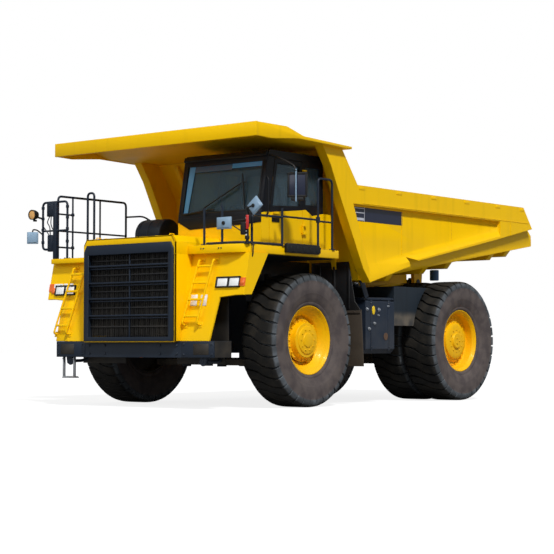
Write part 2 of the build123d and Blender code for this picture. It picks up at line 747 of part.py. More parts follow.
def make_door_glass(side):
    low_x = cab_x[1] - cab_wall if side > 0 else cab_x[0]
    return side_prism(door_window, low_x + 20, low_x + 28)


def make_cab_glass():
    low_x, high_x = cab_x
    low, high = windscreen_heights
    lean = (815 - 980) / (3990 - 3040)
    front_low = -980 - (low - 3040) * lean + 22
    front_high = -980 - (high - 3040) * lean + 22
    pane = [(front_low, low), (front_high, high), (front_high + 8, high), (front_low + 8, low)]
    panes = [side_prism(pane, low_x + 75, high_x - 75)]
    panes.append(block(rear_window[0], (590, 598), rear_window[1]))
    for x in (low_x + 20, high_x - 28):
        panes.append(side_prism(rear_quarter, x, x + 8))
    return panes


def make_seat():
    base = block((650, 1150), (-60, 440), (2900, 3060))
    back = side_prism([(360, 3060), (470, 3060), (560, 3700), (470, 3700)], 670, 1130)
    return base + back


def make_seat_stand():
    return block((750, 1050), (40, 340), (deck_top + cab_wall, 2900))


def make_dash():
    dash = side_prism([(-925, 2700), (-925, 3020), (-760, 3040), (-620, 2980), (-640, 2860), (-760, 2700)],
                      cab_x[0] + cab_wall, cab_x[1] - cab_wall)
    column = rod((900, -700, 2900), (900, -420, 3090), 30)
    wheel_plane = Plane(origin=(900, -420, 3090), z_dir=(0, 280, 190))
    wheel = wheel_plane * (Cylinder(225, 30) - Cylinder(190, 40))
    spokes = wheel_plane * (Box(400, 40, 16) + Cylinder(60, 24))
    foot = block((850, 950), (-800, -700), (deck_top + cab_wall, 2760))
    return dash + column + wheel + spokes + foot


shell = make_cab_shell()
write_node("cab_lower", make_cab_lower(shell))
cab_roof, cab_frames = make_cab_upper(shell)
write_node("cab_roof", *cab_roof)
write_node("cab_upper", *cab_frames)
write_node("cab_glass", *make_cab_glass())
write_node("seat", make_seat())
write_node("cab_fittings", make_seat_stand(), make_dash())
write_node("door_hinges", *make_door_hinges(1), *make_door_hinges(-1))
for side_name, side in (("left", 1), ("right", -1)):
    write_node(f"cab_door_{side_name}", make_door(side))
    write_node(f"door_glass_{side_name}", make_door_glass(side))


# ---------------------------------------------------------------- dump body
body_tail = wheelbase + rear_overhang
floor_front = (1500, 2200)
floor_rear = (body_tail, 3060)
floor_thickness = 120
canopy_outline = [(-1602, overall_height), (876, 4246), (876, 4200), (-1602, 4174)]
canopy_plate = 40


def canopy_under(station):
    """The height of the canopy plate's underside."""
    (y1, z1), (y2, z2) = canopy_outline[:2]
    return z1 + (station - y1) * (z2 - z1) / (y2 - y1) - canopy_plate


side_outline = [
    (740, canopy_under(740)), (1180, 3650), (6670, 3650), (7000, 3250), (5600, 2963), (3000, 2463),
    (2680, 2517), (2750, 2360), (1530, 2040), (1336, 2266), (735, 3347), (440, 3915), (200, canopy_under(200)),
]
top_rail = [(1180, 3650), (6670, 3650), (6930, 3350), (1060, 3350)]
recess = [(1060, 3330), (5790, 3330), (5790, 3190), (1480, 2330)]
lower_rib = [(1410, 2760), (3150, 2760), (3150, 2700), (1500, 2680)]
headboard_line = [(1500, 2080), (1180, 3650), (740, canopy_under(740))]
beam_bottom = 2095
cheek_spread = 86
floor_slope = (floor_rear[1] - floor_front[1]) / (floor_rear[0] - floor_front[0])


def floor_top(station):
    return floor_front[1] + (station - floor_front[0]) * floor_slope


def make_body_side():
    wall = side_prism(side_outline, body_inner_half_width, body_half_width)
    wall -= side_prism(recess, body_half_width - 85, body_half_width + 5)
    rib = side_prism(lower_rib, body_half_width - 90, body_half_width)
    web = [(1530, floor_top(1530) - floor_thickness), (7150, floor_top(7150) - floor_thickness),
           (7150, floor_top(7150) + 80), (6950, 3300), (1560, 2500)]
    return wall + rib + side_prism(web, body_inner_half_width, body_inner_half_width + 50)


def make_headboard():
    (y1, z1), (y2, z2), (y3, z3) = headboard_line
    plate = 70
    outline = [(y1 - plate, z1), (y2 - plate, z2), (y3 - plate, z3), (y3, z3), (y2, z2), (y1, z1)]
    board = side_prism(outline, -body_inner_half_width, body_inner_half_width)
    for x in (-1500, -900, -300, 300, 900, 1500):
        rib = [(y1 - plate - 90, z1 + 150), (y2 - plate - 110, z2 - 100), (y3 - plate - 30, z3 - 60),
               (y3 - plate + 20, z3 - 60), (y2 - plate + 20, z2 - 100), (y1 - plate + 20, z1 + 150)]
        board += side_prism(rib, x - 45, x + 45)
    return board


def make_floor():
    low = floor_front[1] - floor_thickness
    outline = [(floor_front[0], low), floor_front, floor_rear, (body_tail, floor_rear[1] - floor_thickness)]
    floor = side_prism(outline, -body_inner_half_width, body_inner_half_width)
    beam_rear = pivot_station - 230
    beam = [(1600, beam_bottom), (1600, floor_top(1600)), (beam_rear, floor_top(beam_rear)), (beam_rear, beam_bottom)]
    ear = [(pivot_station - 190, floor_top(pivot_station - 190)), (pivot_station - 120, 2130), (pivot_station, 2090),
           (pivot_station + 120, 2130), (pivot_station + 190, floor_top(pivot_station + 190))]
    eye = hoist_eye[0]
    cheek = [(eye - 110, floor_top(eye - 110)), (eye - 50, 2185), (eye + 50, 2185), (eye + 110, floor_top(eye + 110))]
    tail_beam = [(body_tail - 295, 2800), (body_tail - 245, floor_top(body_tail - 245)),
                 (body_tail, floor_top(body_tail) - 60), (body_tail, 2800)]
    bore = pivot_pin_radius + bearing_clearance
    beams = [side_prism(tail_beam, -1300, 1300)]
    beams += both_sides(side_prism(beam, rail_inner_x + 10, rail_inner_x + 90))
    ears = side_prism(ear, rail_outer_x + 10, rail_outer_x + 80)
    ears -= rod((0, pivot_station, pivot_height), (900, pivot_station, pivot_height), bore)
    beams += both_sides(ears)
    for middle in (hoist_x - cheek_spread, hoist_x + cheek_spread):
        beams += both_sides(side_prism(cheek, middle - 14, middle + 14))
    return floor, [beam - floor for beam in beams]


def make_canopy():
    outer = side_prism(canopy_outline, -canopy_half_width, canopy_half_width)
    front_y, front_z = canopy_outline[0]
    rear_y, rear_z = canopy_outline[1]
    under = [(front_y + 40, canopy_under(front_y + 40)), (rear_y + 20, canopy_under(rear_y + 20)),
             (rear_y + 20, 4100), (front_y + 40, 4100)]
    canopy = outer - side_prism(under, -canopy_half_width + 40, canopy_half_width - 40)
    return canopy


floor_plate, floor_beams = make_floor()
write_node("body_floor", floor_plate)
write_node("body_beams", *floor_beams)
write_node("body_headboard", make_headboard())
write_node("body_canopy", make_canopy())
for side_name, turn in (("left", lambda shape: shape), ("right", mirrored)):
    write_node(f"body_side_{side_name}", turn(make_body_side()))


# ---------------------------------------------------------------- hoist
# Two telescopic cylinders outside the frame's rails. A barrel, a middle tube and a rod slide
# in each other along the line from the foot's pin to the eye.
barrel_radius = 95
middle_radius = 80
rod_radius = 62
hoist_run = math.dist(hoist_foot, hoist_eye)


def along_hoist(distance):
    share = distance / hoist_run
    station = hoist_foot[0] + (hoist_eye[0] - hoist_foot[0]) * share
    return (hoist_x, station, hoist_foot[1] + (hoist_eye[1] - hoist_foot[1]) * share)


def hoist_tube(low, high, outer, bore):
    tube = rod(along_hoist(low), along_hoist(high), outer)
    return tube - rod(along_hoist(low + 40), along_hoist(high + 5), bore + bearing_clearance)


def make_hoist():
    foot = rod((hoist_x - 45, *hoist_foot), (hoist_x + 45, *hoist_foot), 85)
    barrel = hoist_tube(40, 1120, barrel_radius, middle_radius) + foot
    barrel -= rod((hoist_x - 110, *hoist_foot), (hoist_x + 110, *hoist_foot), hoist_pin_radius + bearing_clearance)
    middle = hoist_tube(90, 1145, middle_radius, rod_radius)
    eye = rod((hoist_x - 45, *hoist_eye), (hoist_x + 45, *hoist_eye), rod_radius)
    pin = rod((hoist_x - 67, *hoist_eye), (hoist_x + 67, *hoist_eye), hoist_pin_radius)
    ram = rod(along_hoist(140), along_hoist(hoist_run), rod_radius) + eye + pin
    return barrel, middle, ram


for piece_name, piece in zip(("barrels", "middles", "rods"), make_hoist()):
    write_node(f"hoist_{piece_name}", *both_sides(piece))
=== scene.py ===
# %% [markdown]
# # A rigid mining dump truck
# The construction model already holds every body, joint and main shape of the truck.
# This notebook dresses that model: camera and light first, then the finishes, then a cell
# for each family of pieces, such as tyres, rims, grille, lamps and mirrors.
# Lengths are metres, X points to the truck's left, -Y is forwards and Z is up.

# %% load the construction model
import bpy
import bmesh
import json
import math
from mathutils import Matrix, Vector


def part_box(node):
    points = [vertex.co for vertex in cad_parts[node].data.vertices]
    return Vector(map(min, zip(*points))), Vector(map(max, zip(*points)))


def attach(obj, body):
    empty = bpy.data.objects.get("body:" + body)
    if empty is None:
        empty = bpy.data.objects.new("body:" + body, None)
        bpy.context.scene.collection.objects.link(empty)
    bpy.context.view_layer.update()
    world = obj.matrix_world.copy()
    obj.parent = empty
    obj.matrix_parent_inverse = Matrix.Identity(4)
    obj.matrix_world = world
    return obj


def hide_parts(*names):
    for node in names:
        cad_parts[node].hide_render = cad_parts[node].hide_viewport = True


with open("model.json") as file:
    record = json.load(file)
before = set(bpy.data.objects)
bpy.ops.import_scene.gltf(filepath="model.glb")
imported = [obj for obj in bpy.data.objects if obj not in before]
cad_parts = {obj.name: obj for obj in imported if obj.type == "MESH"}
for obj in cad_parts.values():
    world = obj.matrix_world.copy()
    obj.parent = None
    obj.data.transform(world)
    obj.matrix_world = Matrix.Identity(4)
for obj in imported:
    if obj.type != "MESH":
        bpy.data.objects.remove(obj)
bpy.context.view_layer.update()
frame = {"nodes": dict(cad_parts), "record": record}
nodes = frame["nodes"]
front_tyre_low, front_tyre_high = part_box("front_tyre_left")
rear_tyre_low, rear_tyre_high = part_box("rear_tyres_left")
front_axle_y = (front_tyre_low.y + front_tyre_high.y) / 2
rear_axle_y = (rear_tyre_low.y + rear_tyre_high.y) / 2


def at(station):
    """The y of a station that is measured in metres behind the front axle."""
    return front_axle_y + station


# %% [markdown]
# ## Camera
# The truck is seen from low down beside its left front corner, through a long lens, so
# near and far wheels look almost the same size. Depth of field stays off, because a
# machine of nine metres is sharp from end to end at this distance.

# %% camera
camera_data = bpy.data.cameras.new("long_lens")
camera = bpy.data.objects.new("camera", camera_data)
bpy.context.scene.collection.objects.link(camera)
camera_data.sensor_width = 36.0
camera_data.lens = 101.3
camera.location = (17.16, at(-19.79), 0.991)
camera.rotation_euler = (math.radians(90 + 2.507), 0, math.radians(38.657))
bpy.context.scene.camera = camera
print("camera at", [round(value, 2) for value in camera.location])

# %% [markdown]
# ## Floor and light
# A studio for a machine this size is a pale floor that runs out of sight, one broad soft
# lamp for form and a bright sky for fill. The floor adds a little light of its own where
# the camera sees it, so that it meets the white sky without a line yet keeps its shadow.

# %% helpers for node trees
scene = bpy.context.scene
scene.view_settings.view_transform = "Standard"


def feed(tree, node, values):
    """Gives a node's inputs their values: another socket is linked, a constant is set."""
    for key, value in values.items():
        if hasattr(value, "links"):
            tree.links.new(value, node.inputs[key])
        else:
            node.inputs[key].default_value = value


def add_node(tree, kind, values=(), **settings):
    """A node of a kind with its settings and the values of its inputs."""
    node = tree.nodes.new("ShaderNode" + kind)
    for setting, choice in settings.items():
        setattr(node, setting, choice)
    feed(tree, node, dict(values))
    return node


def math_node(tree, operation, *operands, clamp=False):
    """One Math node; each operand is a socket or a number."""
    return add_node(tree, "Math", enumerate(operands), operation=operation, use_clamp=clamp).outputs[0]


print("helpers for node trees ready")


# %% floor, sky and lamps
def make_floor(reach=120.0, tone=0.24, glow=0.83):
    """A wide floor that scatters light and shines a little where the camera sees it."""
    data = bpy.data.meshes.new("floor")
    corners = [(-reach, -reach, 0), (reach, -reach, 0), (reach, reach, 0), (-reach, reach, 0)]
    data.from_pydata(corners, [], [(0, 1, 2, 3)])
    floor = bpy.data.objects.new("floor", data)
    scene.collection.objects.link(floor)
    material = bpy.data.materials.new("pale_floor")
    material.use_nodes = True
    tree = material.node_tree
    tree.nodes.clear()
    matt = add_node(tree, "BsdfDiffuse", {"Color": (tone, tone, tone, 1)})
    seen = add_node(tree, "LightPath").outputs["Is Camera Ray"]
    shine = add_node(tree, "Emission", {"Strength": math_node(tree, "MULTIPLY", seen, glow)})
    both = add_node(tree, "AddShader", {0: matt.outputs[0], 1: shine.outputs[0]})
    add_node(tree, "OutputMaterial", {"Surface": both.outputs[0]})
    data.materials.append(material)


def make_sky(fill=0.34):
    """A soft sky that lights the truck, and plain white where the camera sees it or looks through glass."""
    world = bpy.data.worlds.new("studio")
    scene.world = world
    world.use_nodes = True
    tree = world.node_tree
    tree.nodes.clear()
    soft = add_node(tree, "Background", {"Color": (0.93, 0.97, 1.0, 1), "Strength": fill})
    white = add_node(tree, "Background", {"Color": (1, 1, 1, 1)})
    path = add_node(tree, "LightPath").outputs
    seen = math_node(tree, "MAXIMUM", path["Is Camera Ray"], path["Is Transmission Ray"])
    blend = add_node(tree, "MixShader", {"Fac": seen, 1: soft.outputs[0], 2: white.outputs[0]})
    add_node(tree, "OutputWorld", {"Surface": blend.outputs[0]})


def add_sun(name, strength, spread, tilt, heading):
    """A sun lamp; its spread, tilt and heading are degrees."""
    data = bpy.data.lights.new(name, "SUN")
    data.energy = strength
    data.angle = math.radians(spread)
    lamp = bpy.data.objects.new(name, data)
    lamp.rotation_euler = (math.radians(tilt), 0, math.radians(heading))
    scene.collection.objects.link(lamp)


make_floor()
make_sky()
add_sun("key_lamp", 2.75, 7, 42, 58)
add_sun("front_lamp", 0.6, 40, 62, -8)

# %% [markdown]
# ## Effects that several finishes share
# Real machine paint is never one colour: sun fades it in patches, dust settles on what
# faces up and low down, and edges rub to a lighter or darker tone. Each effect is one node
# group with its own sockets. Every group works from object coordinates, which stay with
# the piece when a joint moves.

# %% helpers for node groups
def colour(red, green, blue):
    """A screen colour of 0 to 255 as the linear colour that shaders use."""
    def linear(value):
        value /= 255
        return value / 12.92 if value <= 0.04045 else ((value + 0.055) / 1.055) ** 2.4
    return (linear(red), linear(green), linear(blue), 1)


def new_group(name, inputs, outputs):
    """A shader node group with (name, kind, default) inputs and (name, kind) outputs."""
    tree = bpy.data.node_groups.new(name, "ShaderNodeTree")
    kinds = {"value": "NodeSocketFloat", "colour": "NodeSocketColor", "vector": "NodeSocketVector"}
    for label, kind, default in inputs:
        socket = tree.interface.new_socket(name=label, in_out="INPUT", socket_type=kinds[kind])
        if default is not None:
            socket.default_value = default
    for label, kind in outputs:
        tree.interface.new_socket(name=label, in_out="OUTPUT", socket_type=kinds[kind])
    return tree, tree.nodes.new("NodeGroupInput").outputs, tree.nodes.new("NodeGroupOutput")


def mix_colours(tree, share, first, second):
    """Mixes two colours, each a socket or a fixed colour."""
    return add_node(tree, "Mix", {0: share, 6: first, 7: second}, data_type="RGBA").outputs[2]


def mix_values(tree, share, first, second):
    """Mixes two values, each a socket or a number."""
    return add_node(tree, "Mix", {0: share, 2: first, 3: second}, data_type="FLOAT").outputs[0]


def split_axes(tree, vector):
    """The X, Y and Z of a vector."""
    return add_node(tree, "SeparateXYZ", {0: vector}).outputs


def noise(tree, vector, scale, detail=3.0, stretch=None):
    """A noise value around one half, on a vector that may be stretched first."""
    if stretch:
        vector = add_node(tree, "Mapping", {"Vector": vector, "Scale": stretch}).outputs[0]
    return add_node(tree, "TexNoise", {"Vector": vector, "Scale": scale, "Detail": detail}).outputs[0]


def ramp(tree, value, low, high):
    """Runs from 0 at low to 1 at high, smoothly."""
    return add_node(tree, "MapRange", {0: value, 1: low, 2: high}, interpolation_type="SMOOTHSTEP").outputs[0]


print("helpers for node groups ready")


# %% dust film
def make_dust_film():
    """Dust lies on faces that look up and gathers towards the ground."""
    tree, given, made = new_group(
        "dust_film",
        [("Vector", "vector", None), ("Normal", "vector", None), ("Low", "value", 0.3), ("High", "value", 2.0),
         ("Ground Amount", "value", 0.5), ("Top Amount", "value", 0.3)], [("Mask", "value")])
    near_ground = ramp(tree, split_axes(tree, given["Vector"])["Z"], given["High"], given["Low"])
    facing_up = ramp(tree, split_axes(tree, given["Normal"])["Z"], 0.35, 0.95)
    both = math_node(tree, "ADD", math_node(tree, "MULTIPLY", near_ground, given["Ground Amount"]),
                     math_node(tree, "MULTIPLY", facing_up, given["Top Amount"]))
    patchy = ramp(tree, noise(tree, given["Vector"], 3.1, 6.0), 0.32, 0.68)
    spread = math_node(tree, "MULTIPLY_ADD", patchy, 0.75, 0.25)
    feed(tree, made, {"Mask": math_node(tree, "MULTIPLY", both, spread, clamp=True)})
    return tree


dust_film = make_dust_film()
print(dust_film.name, "made")


# %% edge wear
def make_edge_wear(width=0.012):
    """Finds edges by comparing the face's normal with one that is rounded over a width."""
    tree, given, made = new_group(
        "edge_wear",
        [("Vector", "vector", None), ("Amount", "value", 0.5), ("Chip Scale", "value", 18.0)],
        [("Mask", "value"), ("Normal", "vector")])
    rounded = add_node(tree, "Bevel", {"Radius": width}, samples=4).outputs[0]
    true_face = add_node(tree, "NewGeometry").outputs["Normal"]
    alike = add_node(tree, "VectorMath", {0: rounded, 1: true_face}, operation="DOT_PRODUCT").outputs["Value"]
    edge = ramp(tree, alike, 0.995, 0.86)
    chips = ramp(tree, noise(tree, given["Vector"], given["Chip Scale"], 5.0), 0.48, 0.66)
    worn = math_node(tree, "MULTIPLY", edge, chips)
    feed(tree, made, {"Mask": math_node(tree, "MULTIPLY", worn, given["Amount"], clamp=True), "Normal": rounded})
    return tree


edge_wear = make_edge_wear()
print(edge_wear.name, "made")


# %% mottled colour
def make_mottle():
    """Slow patches of fade and finer streaks that run down, as rain leaves them."""
    tree, given, made = new_group(
        "mottle",
        [("Vector", "vector", None), ("Colour", "colour", (0.5, 0.5, 0.5, 1)), ("Fade", "value", 0.12),
         ("Streaks", "value", 0.1), ("Scale", "value", 1.2)],
        [("Colour", "colour"), ("Variation", "value")])
    patches = noise(tree, given["Vector"], given["Scale"], 4.0)
    streaks = noise(tree, given["Vector"], 6.0, 5.0, stretch=(1.0, 1.0, 0.08))
    lift = math_node(tree, "MULTIPLY", math_node(tree, "SUBTRACT", patches, 0.5), given["Fade"])
    drop = math_node(tree, "MULTIPLY", ramp(tree, streaks, 0.5, 0.78), given["Streaks"])
    level = math_node(tree, "SUBTRACT", math_node(tree, "ADD", lift, 1.0), drop)
    scaled = add_node(tree, "VectorMath", operation="SCALE")
    feed(tree, scaled, {0: given["Colour"], "Scale": level})
    feed(tree, made, {"Colour": scaled.outputs[0], "Variation": patches})
    return tree


mottle = make_mottle()
print(mottle.name, "made")


# %% fine surface grain
def make_grain():
    """A height of two sizes of noise: orange peel on paint, pores on castings and rubber."""
    tree, given, made = new_group(
        "grain",
        [("Vector", "vector", None), ("Scale", "value", 90.0), ("Rough Share", "value", 0.4)], [("Height", "value")])
    fine = noise(tree, given["Vector"], given["Scale"], 2.0)
    coarse = noise(tree, given["Vector"], 14.0, 4.0)
    feed(tree, made, {"Height": mix_values(tree, given["Rough Share"], fine, coarse)})
    return tree


grain = make_grain()
print("shared effects:", [g.name for g in bpy.data.node_groups])

# %% [markdown]
# ## Finishes
# Most of the truck is sprayed steel, in yellow or in dark navy, so one recipe makes both:
# mottled colour, worn edges, a dust film, and a clear coat over orange peel. The recipe
# takes its numbers from a row of a table, and castings, plastic and plain rubber use it
# too, without the coat. Tyres, glass, lenses and cloth follow with recipes of their own.

# %% the recipe for coated surfaces
def new_finish(name):
    """A new material with its node tree, its shader and the outputs of its coordinates."""
    material = bpy.data.materials.new(name)
    material.use_nodes = True
    tree = material.node_tree
    return material, tree, tree.nodes["Principled BSDF"], add_node(tree, "TexCoord").outputs


def use_group(tree, group, **values):
    """Places a group in a tree. Sockets and numbers are given by the input's name, _ for a space."""
    named = {label.replace("_", " "): value for label, value in values.items()}
    return add_node(tree, "Group", named, node_tree=group).outputs


def raised_normal(tree, height, strength, distance, **normal):
    """The normal of a surface that a height lifts by a distance."""
    return add_node(tree, "Bump", {"Height": height, "Strength": strength, "Distance": distance, **normal}).outputs[0]


def coated(name, base, worn, fade, streaks, wear, ground, top, rough, coat, dust=(158, 140, 112), low=0.3, high=1.9,
           rough_swing=0.2, bump=0.15, pores=90.0, metallic=0.0, glint=(1, 1, 1, 1), gleam=0.5):
    """A coated metal: base colour, the colour under worn edges, dust, gloss and grain."""
    material, tree, shader, place = new_finish(name)
    here = place["Object"]
    tone = use_group(tree, mottle, Vector=here, Colour=colour(*base), Fade=fade, Streaks=streaks)
    edges = use_group(tree, edge_wear, Vector=here, Amount=wear, Chip_Scale=18.0)
    film = use_group(tree, dust_film, Vector=here, Normal=place["Normal"], Low=low, High=high,
                     Ground_Amount=ground, Top_Amount=top)
    rubbed = mix_colours(tree, edges["Mask"], tone["Colour"], colour(*worn))
    dusty = mix_colours(tree, film["Mask"], rubbed, colour(*dust))
    shine = math_node(tree, "MULTIPLY_ADD", tone["Variation"], rough_swing, rough - rough_swing / 2)
    dulled = math_node(tree, "MULTIPLY_ADD", film["Mask"], 0.45, 0.0)
    skin = use_group(tree, grain, Vector=here, Scale=pores)
    feed(tree, shader, {
        "Base Color": dusty, "Roughness": math_node(tree, "ADD", shine, dulled, clamp=True), "Metallic": metallic,
        "Coat Weight": coat, "Coat Roughness": 0.12, "Specular Tint": glint, "Specular IOR Level": gleam,
        "Normal": raised_normal(tree, skin["Height"], bump, 0.004, Normal=edges["Normal"])})
    return material


yellow_base, yellow_glint, rust_brown = (255, 202, 0), (1.0, 0.82, 0.30, 1), (120, 74, 38)
# base colour, worn colour, fade, streaks, wear, dust near the ground and on top, roughness,
# coat, and what differs from the recipe's usual values
coat_table = {
    "yellow_paint": (yellow_base, (176, 122, 30), 0.10, 0.05, 0.35, 0.06, 0.02, 0.40, 0.04,
                     {"glint": yellow_glint, "gleam": 0.3}),
    "body_yellow": (yellow_base, rust_brown, 0.14, 0.08, 0.5, 0.0, 0.02, 0.44, 0.03,
                    {"glint": yellow_glint, "gleam": 0.3}),
    "guard_paint": ((30, 40, 50), (84, 84, 80), 0.3, 0.3, 0.4, 0.85, 0.10, 0.5, 0.02,
                    {"dust": (118, 108, 94), "low": 1.46, "high": 1.60, "gleam": 0.4}),
    "rim_paint": ((252, 192, 0), (170, 112, 30), 0.14, 0.12, 0.2, 0.12, 0.0, 0.42, 0.05,
                  {"low": 0.2, "high": 1.6, "glint": yellow_glint, "gleam": 0.35}),
    "navy_paint": ((17, 31, 48), (62, 72, 84), 0.25, 0.15, 0.4, 0.08, 0.12, 0.46, 0.05,
                   {"dust": (88, 92, 96), "gleam": 0.4}),
    "tank_navy": ((24, 38, 56), (92, 92, 90), 0.4, 0.45, 0.6, 0.35, 0.12, 0.46, 0.05,
                  {"dust": (96, 94, 92), "low": 0.2, "high": 2.2, "gleam": 0.4}),
    "decal_navy": ((30, 36, 58), (70, 76, 92), 0.12, 0.12, 0.2, 0.0, 0.0, 0.38, 0.2, {}),
    "decal_light": ((196, 200, 208), (150, 150, 150), 0.08, 0.12, 0.3, 0.0, 0.0, 0.40, 0.15, {}),
    "cab_black": ((8, 12, 20), (36, 44, 54), 0.2, 0.1, 0.25, 0.0, 0.03, 0.48, 0.0, {"gleam": 0.3}),
    # near black for the grille screen and the mirror stay, and for painted shade on plates in the front rims' barrels,
    # the bumper's windows and the wheel arches
    "screen_and_shade_black": ((14, 15, 18), (42, 42, 44), 0.3, 0.1, 0.2, 0.15, 0.05, 0.55, 0.0, {}),
    "stripe_grey": ((104, 84, 92), (70, 60, 60), 0.2, 0.2, 0.3, 0.1, 0.0, 0.6, 0.0, {"bump": 0.3, "pores": 150.0}),
    "tread_plate": ((38, 42, 48), (98, 96, 90), 0.3, 0.0, 0.7, 0.0, 0.45, 0.5, 0.0, {"bump": 0.5, "pores": 24.0}),
    "gauge_yellow": ((246, 206, 10), (150, 140, 80), 0.1, 0.0, 0.2, 0.0, 0.0, 0.35, 0.3, {}),
    "cast_steel": ((46, 45, 46), rust_brown, 0.3, 0.1, 0.5, 0.30, 0.20, 0.55, 0.0, {"bump": 0.35, "pores": 60.0}),
    "rusty_pipe": ((92, 66, 50), (140, 90, 50), 0.4, 0.2, 0.4, 0.2, 0.3, 0.7, 0.0, {"bump": 0.5, "pores": 50.0}),
    "ram_chrome": ((190, 194, 198), (140, 142, 146), 0.06, 0.1, 0.2, 0.08, 0.03, 0.16, 0.0,
                   {"rough_swing": 0.1, "bump": 0.03, "metallic": 1.0}),
    "step_steel": ((150, 156, 164), (96, 90, 82), 0.2, 0.2, 0.6, 0.25, 0.15, 0.42, 0.05, {"metallic": 0.35}),
    "mirror_case": ((138, 166, 190), (110, 124, 136), 0.1, 0.05, 0.2, 0.0, 0.05, 0.34, 0.2, {}),
    "mirror_glass": ((182, 196, 208), (120, 128, 134), 0.04, 0.0, 0.0, 0.0, 0.0, 0.1, 0.3,
                     {"rough_swing": 0.04, "bump": 0.0, "metallic": 1.0}),
    "cab_plastic": ((24, 25, 28), (60, 60, 62), 0.12, 0.0, 0.2, 0.0, 0.05, 0.6, 0.0, {"bump": 0.25, "pores": 160.0}),
    "trim_rubber": ((7, 8, 9), (26, 25, 24), 0.15, 0.1, 0.25, 0.10, 0.08, 0.62, 0.0, {"bump": 0.2, "pores": 120.0}),
    "flap_rubber": ((62, 52, 42), (40, 36, 32), 0.4, 0.4, 0.3, 0.4, 0.2, 0.75, 0.0,
                    {"dust": (112, 98, 80), "low": 0.4, "high": 1.7}),
    "white_plate": ((226, 228, 226), (150, 146, 136), 0.06, 0.08, 0.3, 0.05, 0.0, 0.4, 0.1, {}),
    "radiator_dust": ((58, 54, 47), (84, 80, 72), 0.7, 0.3, 0.1, 0.35, 0.0, 0.7, 0.0,
                      {"dust": (96, 92, 84), "low": 1.0, "high": 2.4}),
    "filter_blue": ((58, 104, 168), (110, 124, 140), 0.15, 0.1, 0.4, 0.1, 0.2, 0.45, 0.1, {}),
}
finishes = {name: coated(name, *row[:-1], **row[-1]) for name, row in coat_table.items()}
print("coated finishes:", sorted(finishes))


# %% two-tone door paint
def split_by_belt(name, lower, upper, station=0.060, height=3.168, rise=0.0952, blur=0.002):
    """The lower paint with the upper colour above the cab's belt line, which rises to the rear."""
    material = finishes[lower].copy()
    material.name = name
    tree = material.node_tree
    tone = next(node for node in tree.nodes if node.type == "GROUP" and node.node_tree == mottle)
    place = next(node for node in tree.nodes if node.type == "TEX_COORD")
    split = split_axes(tree, place.outputs["Object"])
    belt = math_node(tree, "MULTIPLY", math_node(tree, "SUBTRACT", split["Y"], at(station)), rise)
    above = math_node(tree, "SUBTRACT", math_node(tree, "SUBTRACT", split["Z"], height), belt)
    under_colour = tuple(tone.inputs["Colour"].default_value)
    feed(tree, tone, {"Colour": mix_colours(tree, ramp(tree, above, -blur, blur), under_colour, upper)})
    return material


finishes["door_paint"] = split_by_belt("door_paint", "yellow_paint", colour(8, 12, 20))
print("door paint made")


# %% [markdown]
# Tyres get a recipe of their own. The sidewall is a dull brown grey from dust in the
# rubber's pores, the shoulder is painted a blue grey that stands for the sky's highlight on
# it, and the tread is scrubbed nearly black where it meets the road. The distance from the
# axle tells the three apart, so the finish turns with the wheel.

# %% tyre rubber
def make_tyre_rubber(name, axle_y, axle_z, shoulder_from=(0.940, 0.962), crown_from=(1.022, 1.050)):
    """Rubber whose colour changes twice with the distance from the axle."""
    material, tree, shader, place = new_finish(name)
    here = place["Object"]
    split = split_axes(tree, here)
    away = [math_node(tree, "SUBTRACT", split[axis], middle) for axis, middle in (("Y", axle_y), ("Z", axle_z))]
    squares = math_node(tree, "ADD", *(math_node(tree, "MULTIPLY", part, part) for part in away))
    radius = math_node(tree, "SQRT", squares)
    patchy = noise(tree, here, 5.0, 6.0)
    wall = mix_colours(tree, ramp(tree, patchy, 0.35, 0.65), colour(76, 68, 68), colour(94, 85, 82))
    # painted highlight: the shoulder's blue grey stands for the sky's sheen on the rounded lug ends
    shoulder_highlight = mix_colours(tree, ramp(tree, patchy, 0.4, 0.7), colour(66, 70, 74), colour(96, 102, 108))
    crown = mix_colours(tree, ramp(tree, patchy, 0.4, 0.7), colour(24, 23, 21), colour(44, 40, 34))
    outer = mix_colours(tree, ramp(tree, radius, *crown_from), shoulder_highlight, crown)
    skin = use_group(tree, grain, Vector=here, Scale=70.0, Rough_Share=0.6)
    feed(tree, shader, {
        "Base Color": mix_colours(tree, ramp(tree, radius, *shoulder_from), wall, outer),
        "Roughness": math_node(tree, "MULTIPLY_ADD", patchy, 0.25, 0.6), "Specular IOR Level": 0.35,
        "Normal": raised_normal(tree, skin["Height"], 0.35, 0.006)})
    return material


axle_z = (front_tyre_low.z + front_tyre_high.z) / 2
finishes["front_rubber"] = make_tyre_rubber("front_rubber", front_axle_y, axle_z)
finishes["rear_rubber"] = make_tyre_rubber("rear_rubber", rear_axle_y, axle_z)
print("tyre rubber for axles at", round(front_axle_y, 3), "and", round(rear_axle_y, 3))


# %% [markdown]
# Glass is a clear plate with a plain transmission weight, so that the export keeps it. A light blue tint
# and a little dust in the roughness stop it from looking like empty air.
# Lamp lenses, the red reflector and the painted blue sky reflections on the windscreen share one recipe.

# %% glass and lenses
def make_glass(name, tint, haze):
    """Tinted glass whose roughness follows a thin haze of dust."""
    material, tree, shader, place = new_finish(name)
    tone = use_group(tree, mottle, Vector=place["Object"], Colour=tint, Fade=0.15, Streaks=0.1)
    dusty = math_node(tree, "MULTIPLY", ramp(tree, tone["Variation"], 0.45, 0.75), haze)
    feed(tree, shader, {"Base Color": tone["Colour"], "Roughness": dusty, "Transmission Weight": 0.85, "IOR": 1.05,
                        "Coat Weight": 0.6, "Coat Roughness": 0.03})
    return material


